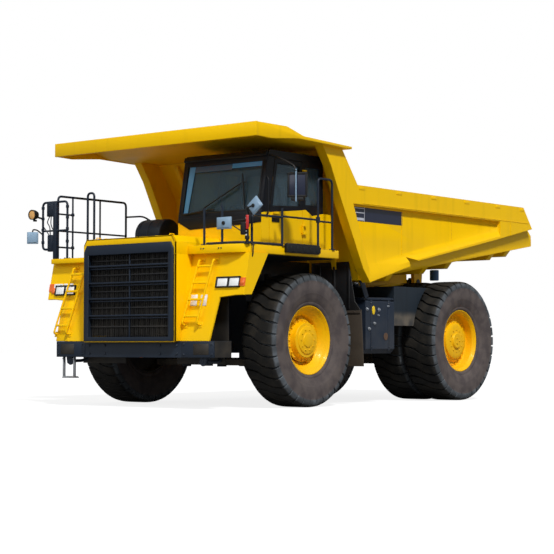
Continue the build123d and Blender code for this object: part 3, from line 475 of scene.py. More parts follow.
def make_lens(name, base, glow):
    """A moulded lens: ribbed in its normal, glossy, with a faint glow of its own colour."""
    material, tree, shader, place = new_finish(name)
    here = place["Object"]
    tone = use_group(tree, mottle, Vector=here, Colour=base, Fade=0.2, Streaks=0.0, Scale=9.0)
    flutes = add_node(tree, "TexWave", {"Vector": here, "Scale": 24.0})
    feed(tree, shader, {"Base Color": tone["Colour"], "Emission Color": tone["Colour"], "Emission Strength": glow,
                        "Roughness": 0.18, "Coat Weight": 0.8,
                        "Normal": raised_normal(tree, flutes.outputs["Fac"], 0.25, 0.003)})
    return material


finishes["glass_tint"] = make_glass("glass_tint", colour(120, 150, 165), 0.08)
# the two blues are painted reflections of the sky on the windscreen; their faint glow is painted light too
for name, base, glow in (("lamp_lens", (236, 238, 238), 0.12), ("indicator_lens", (232, 104, 14), 0.08),
                         ("red_lens", (196, 26, 20), 0.05), ("amber_glass", (226, 170, 96), 0.06),
                         ("shade_blue", (70, 140, 190), 0.04), ("band_blue", (44, 82, 108), 0.02)):
    finishes[name] = make_lens(name, colour(*base), glow)
print("glass and lenses made")


# %% [markdown]
# The seat is covered in a coarse woven cloth. Two crossed waves make the threads; their
# product lifts the bump and darkens the gaps between threads.

# %% seat cloth
def make_seat_cloth():
    """Woven cloth of two crossed sets of threads."""
    material, tree, shader, place = new_finish("seat_cloth")
    here = place["Object"]
    threads = [add_node(tree, "TexWave", {"Vector": here, "Scale": 110.0}, bands_direction=direction).outputs["Fac"]
               for direction in ("X", "Y")]
    weave = math_node(tree, "MULTIPLY", *threads)
    tone = use_group(tree, mottle, Vector=here, Colour=colour(58, 58, 64), Fade=0.3, Streaks=0.0, Scale=5.0)
    feed(tree, shader, {"Base Color": mix_colours(tree, weave, colour(28, 28, 32), tone["Colour"]), "Roughness": 0.85,
                        "Sheen Weight": 0.3, "Normal": raised_normal(tree, weave, 0.4, 0.002)})
    return material


finishes["seat_cloth"] = make_seat_cloth()
print("finishes:", len(finishes))

# %% [markdown]
# ## Finishing the construction model
# Each carried node keeps its shape and gets its finish from this table. What is not named
# here takes the finish of its own material slot in the record.

# %% give every construction node its finish
slot_of_node = {part["node"]: part["material_slot"] for part in frame["record"]["subparts"]}
finish_of_slot = {"tyre_rubber": "front_rubber", "seat_fabric": "seat_cloth"}
nodes_of_finish = {
    "rear_rubber": ("rear_tyres_left", "rear_tyres_right"), "step_steel": ("front_steps",),
    "body_yellow": ("body_floor", "body_headboard", "body_canopy", "body_side_left", "body_side_right", "body_beams"),
    "guard_paint": ("rear_guards",), "tank_navy": ("tanks",), "cab_black": ("cab_upper", "cab_roof"),
    "radiator_dust": ("radiator_core",), "door_paint": ("cab_door_left", "cab_door_right"),
    "yellow_paint": ("door_hinges",),
}
finish_of_node = {name: finish for finish, names in nodes_of_finish.items() for name in names}
for name, node in nodes.items():
    slot_name = slot_of_node[name]
    finish = finish_of_node.get(name) or finish_of_slot.get(slot_name, slot_name)
    for place in node.material_slots:
        place.material = finishes[finish]
print("construction nodes finished:", len(nodes))

# %% [markdown]
# ## Ways to build a mesh
# Every piece is made of a few kinds of form: blocks and prisms with eased edges, turned
# rings, round bars along a path, and bolts. Each helper adds its form to one open mesh, so
# a piece that repeats a form many times is still one object with one finish.

# %% mesh helpers
both_sides = (("left", 1), ("right", -1))
# the record's slot for each finish that isn't a slot itself
finishes_of_slot = {"navy_paint": ("cab_black", "decal_navy", "filter_blue", "radiator_dust", "screen_and_shade_black",
                                   "step_steel", "tank_navy", "tread_plate"),
                    "cab_plastic": ("flap_rubber", "stripe_grey", "trim_rubber"),
                    "yellow_paint": ("body_yellow", "gauge_yellow"), "lamp_lens": ("decal_light", "white_plate"),
                    "indicator_lens": ("amber_glass", "red_lens"), "glass_tint": ("band_blue", "shade_blue"),
                    "tyre_rubber": ("front_rubber", "rear_rubber"), "ram_chrome": ("mirror_glass",),
                    "cast_steel": ("rusty_pipe",), "seat_fabric": ("seat_cloth",), }
usual_slot = {finish: slot for slot, names in finishes_of_slot.items() for finish in names}


def new_shape():
    """An open mesh that forms are added to."""
    return bmesh.new()


def place_piece(name, shape, finish, body="chassis", slot_name=None, smooth=32.0):
    """Closes an open mesh into a piece that rides on a body and takes a finish."""
    slot_name = slot_name or usual_slot.get(finish, finish)
    bmesh.ops.recalc_face_normals(shape, faces=shape.faces)
    data = bpy.data.meshes.new(name)
    shape.to_mesh(data)
    shape.free()
    data.shade_smooth()
    data.set_sharp_from_angle(angle=math.radians(smooth))
    piece = bpy.data.objects.new(name, data)
    scene.collection.objects.link(piece)
    data.materials.append(finishes[finish])
    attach(piece, body)
    return piece


def ease(shape, faces, width, segments=2):
    """Rounds the edges of a form that was just added."""
    edges = list({edge for face in faces for edge in face.edges if len(edge.link_faces) == 2
                  and edge.calc_face_angle(0) > math.radians(25)})
    if width > 0 and edges:
        bmesh.ops.bevel(shape, geom=edges, offset=width, segments=segments, profile=0.5, affect="EDGES",
                        clamp_overlap=True)


def merge(shape, form):
    """Moves a closed form into the open mesh."""
    data = bpy.data.meshes.new("form")
    form.to_mesh(data)
    form.free()
    shape.from_mesh(data)
    bpy.data.meshes.remove(data)


def add_block(shape, middle, size, turn=None, rounding=0.004):
    """A box about its middle, turned by a matrix, with eased edges."""
    form = bmesh.new()
    bmesh.ops.create_cube(form, size=1.0)
    bmesh.ops.scale(form, vec=size, verts=form.verts)
    ease(form, form.faces[:], min(rounding, 0.3 * min(size)))
    if turn:
        bmesh.ops.transform(form, matrix=turn.to_4x4(), verts=form.verts)
    bmesh.ops.translate(form, vec=middle, verts=form.verts)
    merge(shape, form)


def span(shape, first, second, rounding=0.004):
    """A box between two opposite corners (x, station, height), given in any order."""
    corners = ([pick(pair) for pair in zip(first, second)] for pick in (min, max))
    low, high = (Vector((x, at(station), height)) for x, station, height in corners)
    add_block(shape, (low + high) / 2, high - low, rounding=rounding)


def add_prism(shape, outline, start, end, place, rounding=0.004, segments=2):
    """A flat outline of (a, b) points carried between two ends; place(a, b, c) gives the point."""
    form = bmesh.new()
    rings = [[form.verts.new(place(a, b, c)) for a, b in outline] for c in sorted((start, end))]
    form.faces.new(rings[0])
    form.faces.new(rings[1][::-1])
    count = len(outline)
    for index in range(count):
        after = (index + 1) % count
        form.faces.new((rings[0][index], rings[1][index], rings[1][after], rings[0][after]))
    bmesh.ops.recalc_face_normals(form, faces=form.faces)
    ease(form, form.faces[:], rounding, segments)
    merge(shape, form)


def rectangle(a_low, a_high, b_low, b_high, shift=0.0):
    """An outline of four corners, the upper two shifted along a."""
    return [(a_low, b_low), (a_high, b_low), (a_high + shift, b_high), (a_low + shift, b_high)]


def from_side(a, b, c):
    """Outline in (station, height), carried along X."""
    return (c, at(a), b)


def from_front(a, b, c):
    """Outline in (x, height), carried along the stations."""
    return (a, at(c), b)


def from_above(a, b, c):
    """Outline in (x, station), carried up."""
    return (a, at(b), c)


def axis_frame(direction):
    """The unit vector of a direction and two more that are square to it."""
    direction = Vector(direction).normalized()
    helper = Vector((0, 0, 1)) if abs(direction.z) < 0.9 else Vector((1, 0, 0))
    first = direction.cross(helper).normalized()
    return direction, first, direction.cross(first)


def add_turned(shape, profile, origin, direction, sides=48, closed=False):
    """A profile of (along, radius) points turned about a line."""
    along, first, second = axis_frame(direction)
    origin = Vector(origin)
    form = bmesh.new()
    rings = []
    for distance, radius in profile:
        if radius < 1e-6:
            rings.append([form.verts.new(origin + along * distance)])
            continue
        angles = (2 * math.pi * step / sides for step in range(sides))
        centre = origin + along * distance
        rings.append([form.verts.new(centre + (first * math.cos(a) + second * math.sin(a)) * radius) for a in angles])
    pairs = list(zip(rings, rings[1:])) + ([(rings[-1], rings[0])] if closed else [])
    for near, far in pairs:
        if len(near) == 1 and len(far) == 1:
            continue
        for step in range(sides):
            after = (step + 1) % sides
            if len(near) == 1:
                form.faces.new((near[0], far[step], far[after]))
            elif len(far) == 1:
                form.faces.new((near[step], near[after], far[0]))
            else:
                form.faces.new((near[step], near[after], far[after], far[step]))
    merge(shape, form)


def add_bar(shape, start, end, radius, sides=16):
    """A round bar with eased ends."""
    start, end = Vector(start), Vector(end)
    length = (end - start).length
    tip = min(0.2 * radius, 0.2 * length)
    add_turned(shape, [(0, 0), (0, radius - tip), (tip, radius), (length - tip, radius), (length, radius - tip),
                       (length, 0)], start, end - start, sides)


def round_corners(points, bend, steps=5):
    """The points of a path whose corners are turned into arcs."""
    points = [Vector(p) for p in points]
    path = [points[0]]
    for before, corner, after in zip(points, points[1:], points[2:]):
        back, on = (before - corner), (after - corner)
        reach = min(bend, 0.45 * back.length, 0.45 * on.length)
        start, end = corner + back.normalized() * reach, corner + on.normalized() * reach
        for step in range(steps + 1):
            share = step / steps
            path.append(start.lerp(corner, share).lerp(corner.lerp(end, share), share))
    path.append(points[-1])
    return path


def add_pipe(shape, points, radius, bend=0.06, sides=12, steps=5):
    """A round bar or hose along a path with rounded corners."""
    path = round_corners(points, bend, steps)
    form = bmesh.new()
    direction, first, second = axis_frame(path[1] - path[0])
    rings = []
    for index, point in enumerate(path):
        before, after = path[max(index - 1, 0)], path[min(index + 1, len(path) - 1)]
        along = (after - before).normalized()
        first = (first - along * first.dot(along)).normalized()
        second = along.cross(first)
        rings.append([form.verts.new(point + (first * math.cos(a) + second * math.sin(a)) * radius)
                      for a in (2 * math.pi * k / sides for k in range(sides))])
    for near, far in zip(rings, rings[1:]):
        for step in range(sides):
            after = (step + 1) % sides
            form.faces.new((near[step], near[after], far[after], far[step]))
    form.faces.new(rings[0][::-1])
    form.faces.new(rings[-1])
    merge(shape, form)


def add_run(shape, points, *form):
    """A pipe along a path of (x, station, height) points."""
    add_pipe(shape, [from_above(*point) for point in points], *form)


def add_bolt(shape, place, direction, across=0.03, height=0.014):
    """A hexagon head on a washer."""
    add_turned(shape, [(0, 0), (0, across * 0.75), (height * 0.25, across * 0.75), (height * 0.25, across * 0.5),
                       (height * 0.9, across * 0.5), (height, across * 0.42), (height, 0)],
               place, direction, sides=6)


def settle(piece):
    """Makes what the modifiers show the piece's own mesh."""
    graph = bpy.context.evaluated_depsgraph_get()
    data = bpy.data.meshes.new_from_object(piece.evaluated_get(graph))
    piece.modifiers.clear()
    piece.data = data


print("mesh helpers ready")

# %% [markdown]
# ## Tyres
# A haul truck's tyre stands over two metres tall. Broad lugs with narrow grooves between
# them cross the tread in a shallow S and end in blunt faces on the shoulder; below them
# the sidewall is smooth. The mesh is a grid: one way goes round the wheel in steps that
# fall exactly on the lugs' edges, the other goes along the section from bead to bead. Each
# row turns a little further than the last, which bends the lugs without blurring them.

# %% tyre mesh
tyre_top = (front_tyre_high.z - front_tyre_low.z) / 2
tyre_half_width = (front_tyre_high.x - front_tyre_low.x) / 2
bead_radius = 0.5585
lug_count = 36
groove_share = 0.17
# x from the tyre's middle, radius in a groove, then how far a lug stands out in x and in radius
section_rows = [(0.2370, bead_radius, 0.0, 0.0), (0.2500, 0.572, 0.0, 0.0), (0.2580, 0.600, 0.0, 0.0),
                (0.2560, 0.612, 0.0, 0.0), (0.2780, 0.650, 0.0, 0.0), (0.2960, 0.700, 0.0, 0.0),
                (0.3080, 0.745, 0.0, 0.0), (0.3115, 0.752, 0.0, 0.0), (0.3115, 0.764, 0.0, 0.0),
                (0.3130, 0.771, 0.0, 0.0), (0.3185, 0.810, 0.0, 0.0), (0.3200, 0.850, 0.0, 0.0),
                (0.3190, 0.890, 0.0, 0.0), (0.3165, 0.922, 0.0, 0.0), (0.3130, 0.944, 0.004, 0.004),
                (0.3080, 0.958, 0.014, 0.006), (0.3010, 0.975, 0.019, 0.014), (0.2920, 0.990, 0.018, 0.030),
                (0.2800, 1.000, 0.010, 0.045), (0.2600, 1.008, 0.002, 0.056), (0.2250, 1.012, 0.0, 0.057),
                (0.1700, 1.014, 0.0, 0.057), (0.1100, 1.016, 0.0, 0.056), (0.0600, 1.030, 0.0, 0.043),
                (0.0250, 1.040, 0.0, 0.033), (0.0, 1.042, 0.0, 0.031), ]


def lug_turn(x, pitch):
    """How far a lug has turned round the wheel where it is x from the middle."""
    sweep = math.tanh(x / 0.10) * 0.30 + x / tyre_half_width * 0.22
    return sweep * pitch


def add_tyre(shape, middle):
    """One tyre about an axle that runs along X."""
    pitch = 2 * math.pi / lug_count
    half_groove = pitch * groove_share / 2
    wall = 0.12 * pitch * groove_share
    # angle within one pitch, and how much of the lug's height stands there
    steps = [(-half_groove + wall, 0.0), (half_groove - wall, 0.0), (half_groove + wall, 1.0), (pitch * 0.30, 1.0),
             (pitch * 0.50, 1.0), (pitch * 0.70, 1.0), (pitch - half_groove - wall, 1.0)]
    rows = [(-x, r, -dx, dr) for x, r, dx, dr in section_rows] + section_rows[-2::-1]
    cap = tyre_top - 0.0006
    form = bmesh.new()
    rings = []
    for x, radius, out, rise in rows:
        turn = lug_turn(x, pitch)
        ring = []
        for lug in range(lug_count):
            for angle, stands in steps:
                reach = min(radius + rise * stands, cap)
                where = lug * pitch + angle + turn
                ring.append(form.verts.new((middle[0] + x + out * stands, middle[1] + reach * math.cos(where),
                                            middle[2] + reach * math.sin(where))))
        rings.append(ring)
    count = len(rings[0])
    for near, far in zip(rings, rings[1:] + rings[:1]):
        for step in range(count):
            after = (step + 1) % count
            form.faces.new((near[step], far[step], far[after], near[after]))
    merge(shape, form)


def wheel_middle(node):
    """The middle of a node's box."""
    low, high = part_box(node)
    return (low + high) / 2


for side_name, side in both_sides:
    shape = new_shape()
    add_tyre(shape, wheel_middle(f"front_tyre_{side_name}"))
    tyre = place_piece(f"front_tyre_{side_name}_tread", shape, "front_rubber", f"wheel_front_{side_name}")
    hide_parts(f"front_tyre_{side_name}")
    low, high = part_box(f"rear_tyres_{side_name}")
    shape = new_shape()
    for x in (low.x + tyre_half_width, high.x - tyre_half_width):
        add_tyre(shape, (x, rear_axle_y, axle_z))
    twins = place_piece(f"rear_tyres_{side_name}_tread", shape, "rear_rubber", f"wheels_rear_{side_name}")
    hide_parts(f"rear_tyres_{side_name}")
print("triangles in a tyre:", 2 * len(tyre.data.polygons))

# %% [markdown]
# ## Rims
# The rims are built up from rings: a bead flange, a lock ring beside it, a tapered lip,
# and a dish. In front the hub's drum stands out in the middle with a ring of studs; at the
# back the dish is much deeper and holds the final drive's stepped cover. All of it is
# turned work, so one profile each and rings of bolts make them.

# %% rims
def add_bolt_circle(shape, centre, side, radius, count, across, out):
    """Bolts in a circle about an axle, a distance out from the centre."""
    for index in range(count):
        angle = 2 * math.pi * index / count
        place = (centre[0] + side * out, centre[1] + radius * math.cos(angle), centre[2] + radius * math.sin(angle))
        add_bolt(shape, place, (side, 0, 0), across, across * 0.6)


# distance outwards from the tyre's middle, radius
front_rim_rings = [(-0.070, 0.520), (-0.070, 0.500), (-0.060, 0.500), (-0.060, 0.360), (0.010, 0.345), (0.020, 0.390),
                   (0.085, 0.405), (0.105, 0.425), (0.150, 0.470), (0.176, 0.489), (0.180, 0.497), (0.186, 0.500),
                   (0.190, 0.508), (0.214, 0.522), (0.218, 0.529), (0.226, 0.534), (0.233, 0.540), (0.2345, 0.548),
                   (0.2325, 0.5555), ]
front_hub_rings = [
    (-0.149, 0.0), (-0.149, 0.200), (-0.040, 0.255), (0.020, 0.300), (0.055, 0.346), (0.068, 0.349), (0.075, 0.345),
    (0.080, 0.300), (0.130, 0.290), (0.172, 0.284), (0.180, 0.276), (0.183, 0.228), (0.196, 0.222), (0.200, 0.214),
    (0.2005, 0.120), (0.212, 0.112), (0.2145, 0.104), (0.2145, 0.0),
]
rear_rim_rings = [(-0.234, 0.5555), (-0.234, 0.530), (-0.060, 0.500), (-0.020, 0.478), (0.050, 0.474), (0.056, 0.486),
                  (0.130, 0.492), (0.176, 0.497), (0.182, 0.504), (0.190, 0.508), (0.214, 0.522), (0.218, 0.529),
                  (0.226, 0.534), (0.233, 0.540), (0.2345, 0.548), (0.2325, 0.5555), ]
final_drive_rings = [
    (-0.020, 0.0), (-0.020, 0.482), (0.040, 0.482), (0.048, 0.474), (0.048, 0.372), (0.054, 0.366), (0.090, 0.362),
    (0.098, 0.352), (0.100, 0.330), (0.132, 0.322), (0.140, 0.312), (0.150, 0.250), (0.156, 0.146), (0.176, 0.138),
    (0.1845, 0.128), (0.1845, 0.0),
]
twin_spool_rings = [(-0.234, 0.5555), (-0.234, 0.320), (0.235, 0.330), (0.235, 0.5555), (0.226, 0.5555),
                    (0.220, 0.508), (-0.220, 0.500), ]
for side_name, side in both_sides:
    centre = wheel_middle(f"front_tyre_{side_name}")
    shape = new_shape()
    for profile, closed in ((front_rim_rings, True), (front_hub_rings, False)):
        add_turned(shape, profile, centre, (side, 0, 0), 96, closed)
    add_bolt_circle(shape, centre, side, 0.323, 20, 0.030, 0.076)
    add_bolt_circle(shape, centre, side, 0.168, 10, 0.020, 0.200)
    for angle in (0.55, 2.12, 3.69, 5.26):
        lug_place = Vector((0, math.cos(angle), math.sin(angle)))
        turn = Matrix.Rotation(angle, 3, "X")
        add_block(shape, Vector(centre) + lug_place * 0.372 + Vector((side * 0.052, 0, 0)), (0.05, 0.05, 0.11), turn,
                  0.008)
    # painted shade: the rim's inner barrel is near black instead of rim yellow, for the shade inside the rim
    shaded_barrel = new_shape()
    add_turned(shaded_barrel, [(-0.234, 0.5555), (-0.234, 0.530), (-0.071, 0.502), (-0.071, 0.300), (-0.060, 0.300),
                        (-0.060, 0.5555)], centre, (side, 0, 0), 72, closed=True)
    place_piece(f"front_barrel_shade_{side_name}", shaded_barrel, "screen_and_shade_black", f"wheel_front_{side_name}", "rim_paint")
    rim = place_piece(f"front_rim_{side_name}_rings", shape, "rim_paint", f"wheel_front_{side_name}")
    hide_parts(f"front_rim_{side_name}")
    shape = new_shape()
    low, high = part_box(f"rear_tyres_{side_name}")
    inner, outer = (low.x + tyre_half_width, high.x - tyre_half_width)[::side]
    centre = (outer, rear_axle_y, axle_z)
    for profile, closed in ((rear_rim_rings, True), (final_drive_rings, False)):
        add_turned(shape, profile, centre, (side, 0, 0), 96, closed)
    add_turned(shape, twin_spool_rings, (inner, rear_axle_y, axle_z), (side, 0, 0), 64, closed=True)
    add_bolt_circle(shape, centre, side, 0.425, 24, 0.034, 0.048)
    add_bolt_circle(shape, centre, side, 0.343, 24, 0.020, 0.094)
    add_bolt_circle(shape, centre, side, 0.196, 12, 0.022, 0.152)
    add_bolt_circle(shape, centre, side, 0.055, 3, 0.026, 0.184)
    rims = place_piece(f"rear_rims_{side_name}_rings", shape, "rim_paint", f"wheels_rear_{side_name}")
    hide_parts(f"rear_rims_{side_name}")
print("rims done")

# %% [markdown]
# ## Hood and grille frame
# The hood's top and sides end flush round the grille, and both have a chamfer at the upper
# corners. The construction model has plain corners here, so these two pieces stand for its
# hood and grille: each is a ring of quads between an outer and an inner outline, carried
# along the truck, which keeps the sheet metal closed and even.

# %% hood and grille frame
grille_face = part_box("grille")[0].y - front_axle_y


def add_ring_prism(shape, outer, inner, start, end, place, rounding=0.003):
    """A closed frame between two outlines with as many points, carried from start to end."""
    form = bmesh.new()
    count = len(outer)
    loops = [[form.verts.new(place(a, b, c)) for a, b in outline] for outline, c in
             ((outer, start), (outer, end), (inner, end), (inner, start))]
    for first_loop, second_loop in zip(loops, loops[1:] + loops[:1]):
        for index in range(count):
            after = (index + 1) % count
            form.faces.new((first_loop[index], second_loop[index], second_loop[after], first_loop[after]))
    bmesh.ops.recalc_face_normals(form, faces=form.faces)
    ease(form, form.faces[:], rounding)
    merge(shape, form)


def chamfered(half_width, low, high, across=0.060, down=0.100):
    """A front outline whose upper corners are cut off."""
    return [(-half_width, low), (half_width, low), (half_width, high - down), (half_width - across, high),
            (across - half_width, high), (-half_width, high - down)]


shape = new_shape()
hood_half, plate = 0.992, 0.017
front_edge, rear_edge = grille_face + 0.015, -0.990
for side in (-1, 1):
    inner_side, outer_side = side * (hood_half - plate), side * hood_half
    span(shape, (inner_side, front_edge, 1.056), (outer_side, -1.450, 2.402), 0.002)
    span(shape, (inner_side, front_edge, 2.400), (outer_side, rear_edge, 2.590), 0.002)
roof = [(-hood_half, 2.588), (-hood_half, 2.590), (-0.932, 2.690), (0.932, 2.690), (hood_half, 2.590),
        (hood_half, 2.588), (0.975, 2.588), (0.922, 2.673), (-0.922, 2.673), (-0.975, 2.588)]
add_prism(shape, roof, front_edge, rear_edge, from_front, 0.002)
add_prism(shape, [(-0.420, 2.688), (0.420, 2.688), (0.405, 2.748), (-0.405, 2.748)], -1.400, -1.040, from_front, 0.012)
for x in (-0.55, 0.55):
    span(shape, (x - 0.010, -2.06, 2.688), (x + 0.010, -1.02, 2.700), 0.003)
for x, station in ((-0.80, -1.95), (0.80, -1.95), (-0.80, -1.15), (0.80, -1.15)):
    add_pipe(shape, [(x, at(station) - 0.05, 2.688), (x, at(station) - 0.05, 2.720), (x, at(station) + 0.05, 2.720),
                     (x, at(station) + 0.05, 2.688)], 0.008, 0.02, 10)
add_ring_prism(shape, chamfered(hood_half, 1.056, 2.690), chamfered(0.9735, 1.040, 2.5890), front_edge,
               front_edge + 0.040, from_front, 0.003)
hood = place_piece("hood_plates", shape, "yellow_paint")
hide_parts("hood")
shape = new_shape()
add_ring_prism(shape, chamfered(0.973, 1.055, 2.588), chamfered(0.883, 1.120, 2.433, 0.004, 0.004), grille_face,
               -1.985, from_front, 0.006)
frame_piece = place_piece("grille_frame", shape, "navy_paint")
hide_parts("grille")
print("hood and grille frame from", round(grille_face, 3))

# %% [markdown]
# ## Rails
# Guard rails stand round the deck: welded tube with bent corners, thinner bars between the
# posts. One table of paths and radii makes them all, because they differ in nothing else.

# %% rails
deck_low, deck_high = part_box("decks")
deck_top = deck_high.z
post, thin = 0.019, 0.015
low_deck = 2.430
# radius, then the (x, station, height) corners of the path
rail_paths = [
    (post, [(1.293, -1.75, deck_top), (1.293, -1.75, 3.10)]),
    (post, [(1.657, -1.75, deck_top), (1.657, -1.75, 3.13)]),
    (post, [(2.08, -1.55, deck_top), (2.08, -1.55, 2.983), (2.08, -0.81, 2.983)]),
    (post, [(2.08, -0.81, deck_top), (2.08, -0.81, 3.13)]),
    (post, [(2.08, 0.115, deck_top), (2.08, 0.115, 3.672), (2.08, 0.493, 3.672), (2.08, 0.493, deck_top)]),
    (thin, [(2.08, 0.115, 2.98), (2.08, 0.493, 2.98)]),
    (post, [(-2.08, -1.64, low_deck), (-2.08, -1.64, 3.50), (-2.08, -0.01, 3.50), (-2.08, -0.01, low_deck)]),
    (post, [(-1.74, -1.75, low_deck), (-1.74, -1.75, 3.39), (-2.33, -1.75, 3.39), (-2.33, -1.75, 2.60),
            (-2.01, -1.75, 2.60)]),
    (post, [(-1.12, -1.74, low_deck), (-1.12, -1.74, 3.49), (-1.27, -1.74, 3.49), (-1.27, -1.74, low_deck)]),
    (thin, [(-2.08, -0.01, 3.25), (-1.84, 0.18, 3.265), (-1.65, 0.34, 3.11), (-1.65, 0.34, low_deck)]),
    (thin, [(-2.08, -1.64, 2.915), (-2.08, -0.01, 2.915)]),
    (thin, [(-2.08, -1.30, low_deck), (-2.08, -1.30, 3.50)]),
    (thin, [(-2.08, -0.65, low_deck), (-2.08, -0.65, 3.50)]),
    (thin, [(-2.08, -1.64, 3.20), (-2.08, -1.27, 3.20)]),
    (thin, [(-2.08, -1.64, 2.64), (-2.08, -1.27, 2.64)]),
    (thin, [(-1.74, -1.75, 2.91), (-2.33, -1.75, 2.91)]),
]
shape = new_shape()
for radius, corners in rail_paths:
    add_run(shape, corners, radius, 0.075, 16, 6)
for low, high in (((-2.050, -1.790, low_deck), (-1.970, -1.720, 3.385)),
                  ((-2.200, -1.790, 3.150), (-2.050, -1.720, 3.385)),
                  ((-2.180, -1.790, 2.560), (-2.050, -1.720, 2.840))):
    span(shape, low, high, 0.010)
rails = place_piece("guard_rails", shape, "navy_paint")
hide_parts("rails")
print("rail paths", len(rail_paths))

# %% [markdown]
# ## Deck plates
# The deck is folded plate. The right half lies a hand lower than the left one, which
# carries the cab, so these plates stand for the construction model's two level ones.

# %% deck plates
shape = new_shape()
left_deck = [(0.992, -1.800), (1.850, -1.800), (2.030, -1.730), (2.098, -1.600), (2.098, 0.650), (0.0, 0.650),
             (0.0, -0.990), (0.992, -0.990)]
right_deck = [(-0.992, -1.800), (-2.070, -1.800), (-2.098, -1.770), (-2.098, 0.650), (-0.992, 0.650)]
middle_deck = [(0.0, -0.990), (0.0, 0.650), (-0.995, 0.650), (-0.995, -0.990)]
add_prism(shape, left_deck, deck_low.z, deck_top, from_above, 0.005)
add_prism(shape, middle_deck, deck_low.z, deck_top, from_above, 0.002)
add_prism(shape, right_deck, 2.350, low_deck, from_above, 0.005)
plates = place_piece("deck_plates", shape, "yellow_paint")
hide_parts("decks")
print("deck from", round(deck_low.z, 3), "to", round(deck_top, 3))

# %% [markdown]
# ## Air cleaner
# Behind the right rail a drum lies across the deck, with a domed cover and clamp bands. It
# stands on a bracket inside three thin hoops.

# %% air cleaner
shape = new_shape()
drum = [(0.0, 0.0), (0.0, 0.215), (0.012, 0.250), (0.035, 0.268), (0.085, 0.270), (0.087, 0.276), (0.110, 0.276),
        (0.112, 0.270), (0.300, 0.270), (0.302, 0.276), (0.325, 0.276), (0.327, 0.270), (0.560, 0.270),
        (0.585, 0.262), (0.600, 0.235), (0.600, 0.0)]
drum_end = (-1.300, at(-0.350), 2.860)
add_turned(shape, drum, drum_end, (1, 0, 0), 64)
add_turned(shape, [(-0.020, 0.0), (-0.020, 0.040), (0.0, 0.060), (0.002, 0.0)], drum_end, (1, 0, 0), 32)
span(shape, (-1.200, -0.450, low_deck - 0.01), (-0.800, -0.250, 2.700), 0.010)
for x in (-1.23, -0.99, -0.79):
    add_run(shape, [(x, -0.62, low_deck), (x, -0.62, 2.86), (x, -0.56, 3.06), (x, -0.35, 3.138), (x, -0.14, 3.06),
                    (x, -0.08, 2.86), (x, -0.08, low_deck)], 0.008, 0.12, 8)
cleaner = place_piece("air_cleaner_drum", shape, "navy_paint")
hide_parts("air_cleaner")
print("air cleaner dressed")

# %% [markdown]
# ## Grille
# Behind the dark frame stands a screen of fine upright slats, held by thick bars. They are
# punched from sheet and bolted on, so the slats are one mesh made by a loop. The cover on
# each side post and the blank plate on top are separate pressings with rows of bolts.

# %% grille
shape = new_shape()
slats = 44
for index in range(slats + 1):
    x = -0.885 + 1.77 * index / slats
    span(shape, (x - 0.0035, grille_face + 0.066, 1.10), (x + 0.0035, grille_face + 0.080, 2.44), 0.0)
for height in (1.285, 1.585, 1.845, 2.105, 2.335):
    span(shape, (-0.885, grille_face + 0.058, height - 0.010), (0.885, grille_face + 0.070, height + 0.010), 0.002)
place_piece("grille_slats", shape, "screen_and_shade_black")
shape = new_shape()
for height in (1.450, 1.720, 1.970, 2.240):
    span(shape, (-0.890, grille_face + 0.012, height - 0.002), (0.890, grille_face + 0.058, height + 0.024), 0.006)
    span(shape, (-0.890, grille_face + 0.030, height - 0.040), (0.890, grille_face + 0.058, height - 0.022), 0.004)
span(shape, (-0.012, grille_face + 0.045, 1.10), (0.012, grille_face + 0.060, 2.44), 0.003)
for side in (-1, 1):
    span(shape, (side * 0.868, grille_face + 0.001, 1.075), (side * 0.966, grille_face + 0.012, 2.470), 0.006)
    for height in (1.15, 1.45, 1.75, 2.05, 2.35):
        add_bolt(shape, (side * 0.917, at(grille_face + 0.0145), height), (0, -1, 0), 0.020, 0.011)
add_prism(shape, [(-0.905, 2.444), (0.905, 2.444), (0.895, 2.572), (-0.895, 2.572)], grille_face + 0.0015,
          grille_face + 0.014, from_front, 0.008)
for x in (-0.86, -0.30, 0.30, 0.86):
    add_bolt(shape, (x, at(grille_face + 0.013), 2.508), (0, -1, 0), 0.020, 0.010)
place_piece("grille_bars", shape, "navy_paint")
shape = new_shape()
for index in range(60):
    x = -0.87 + 1.74 * index / 59
    span(shape, (x - 0.005, -1.9995, 1.16), (x + 0.005, -1.9875, 2.44), 0.0)
for x in (-0.44, 0.44):
    span(shape, (x - 0.03, -2.004, 1.13), (x + 0.03, -1.988, 2.46), 0.003)
place_piece("radiator_fins", shape, "radiator_dust")
print("grille slats", slats + 1)

# %% [markdown]
# ## Leaning front panels
# The panels under the deck lean back by twelve degrees. Everything on them, the lamps, the
# plates and the ladders' feet, is placed in the panel's own plane: across, up the slope,
# and off it.

# %% lamps, plates and ladder feet
panel_fold = (-1.807, 1.754)
panel_lean = math.radians(12.0)
panel_turn = Matrix.Rotation(-panel_lean, 3, "X")


def on_panel(x, height, off=0.0):
    """A point at a height on the leaning panel, moved off it towards the front."""
    slope = (height - panel_fold[1]) * math.tan(panel_lean)
    return Vector((x, at(panel_fold[0] + slope) - off * math.cos(panel_lean), height + off * math.sin(panel_lean)))


def panel_plate(shape, outline, low, high, rounding=0.003):
    """A flat form on the panel from an outline of (x, height) points."""
    add_prism(shape, outline, low, high, on_panel, rounding)


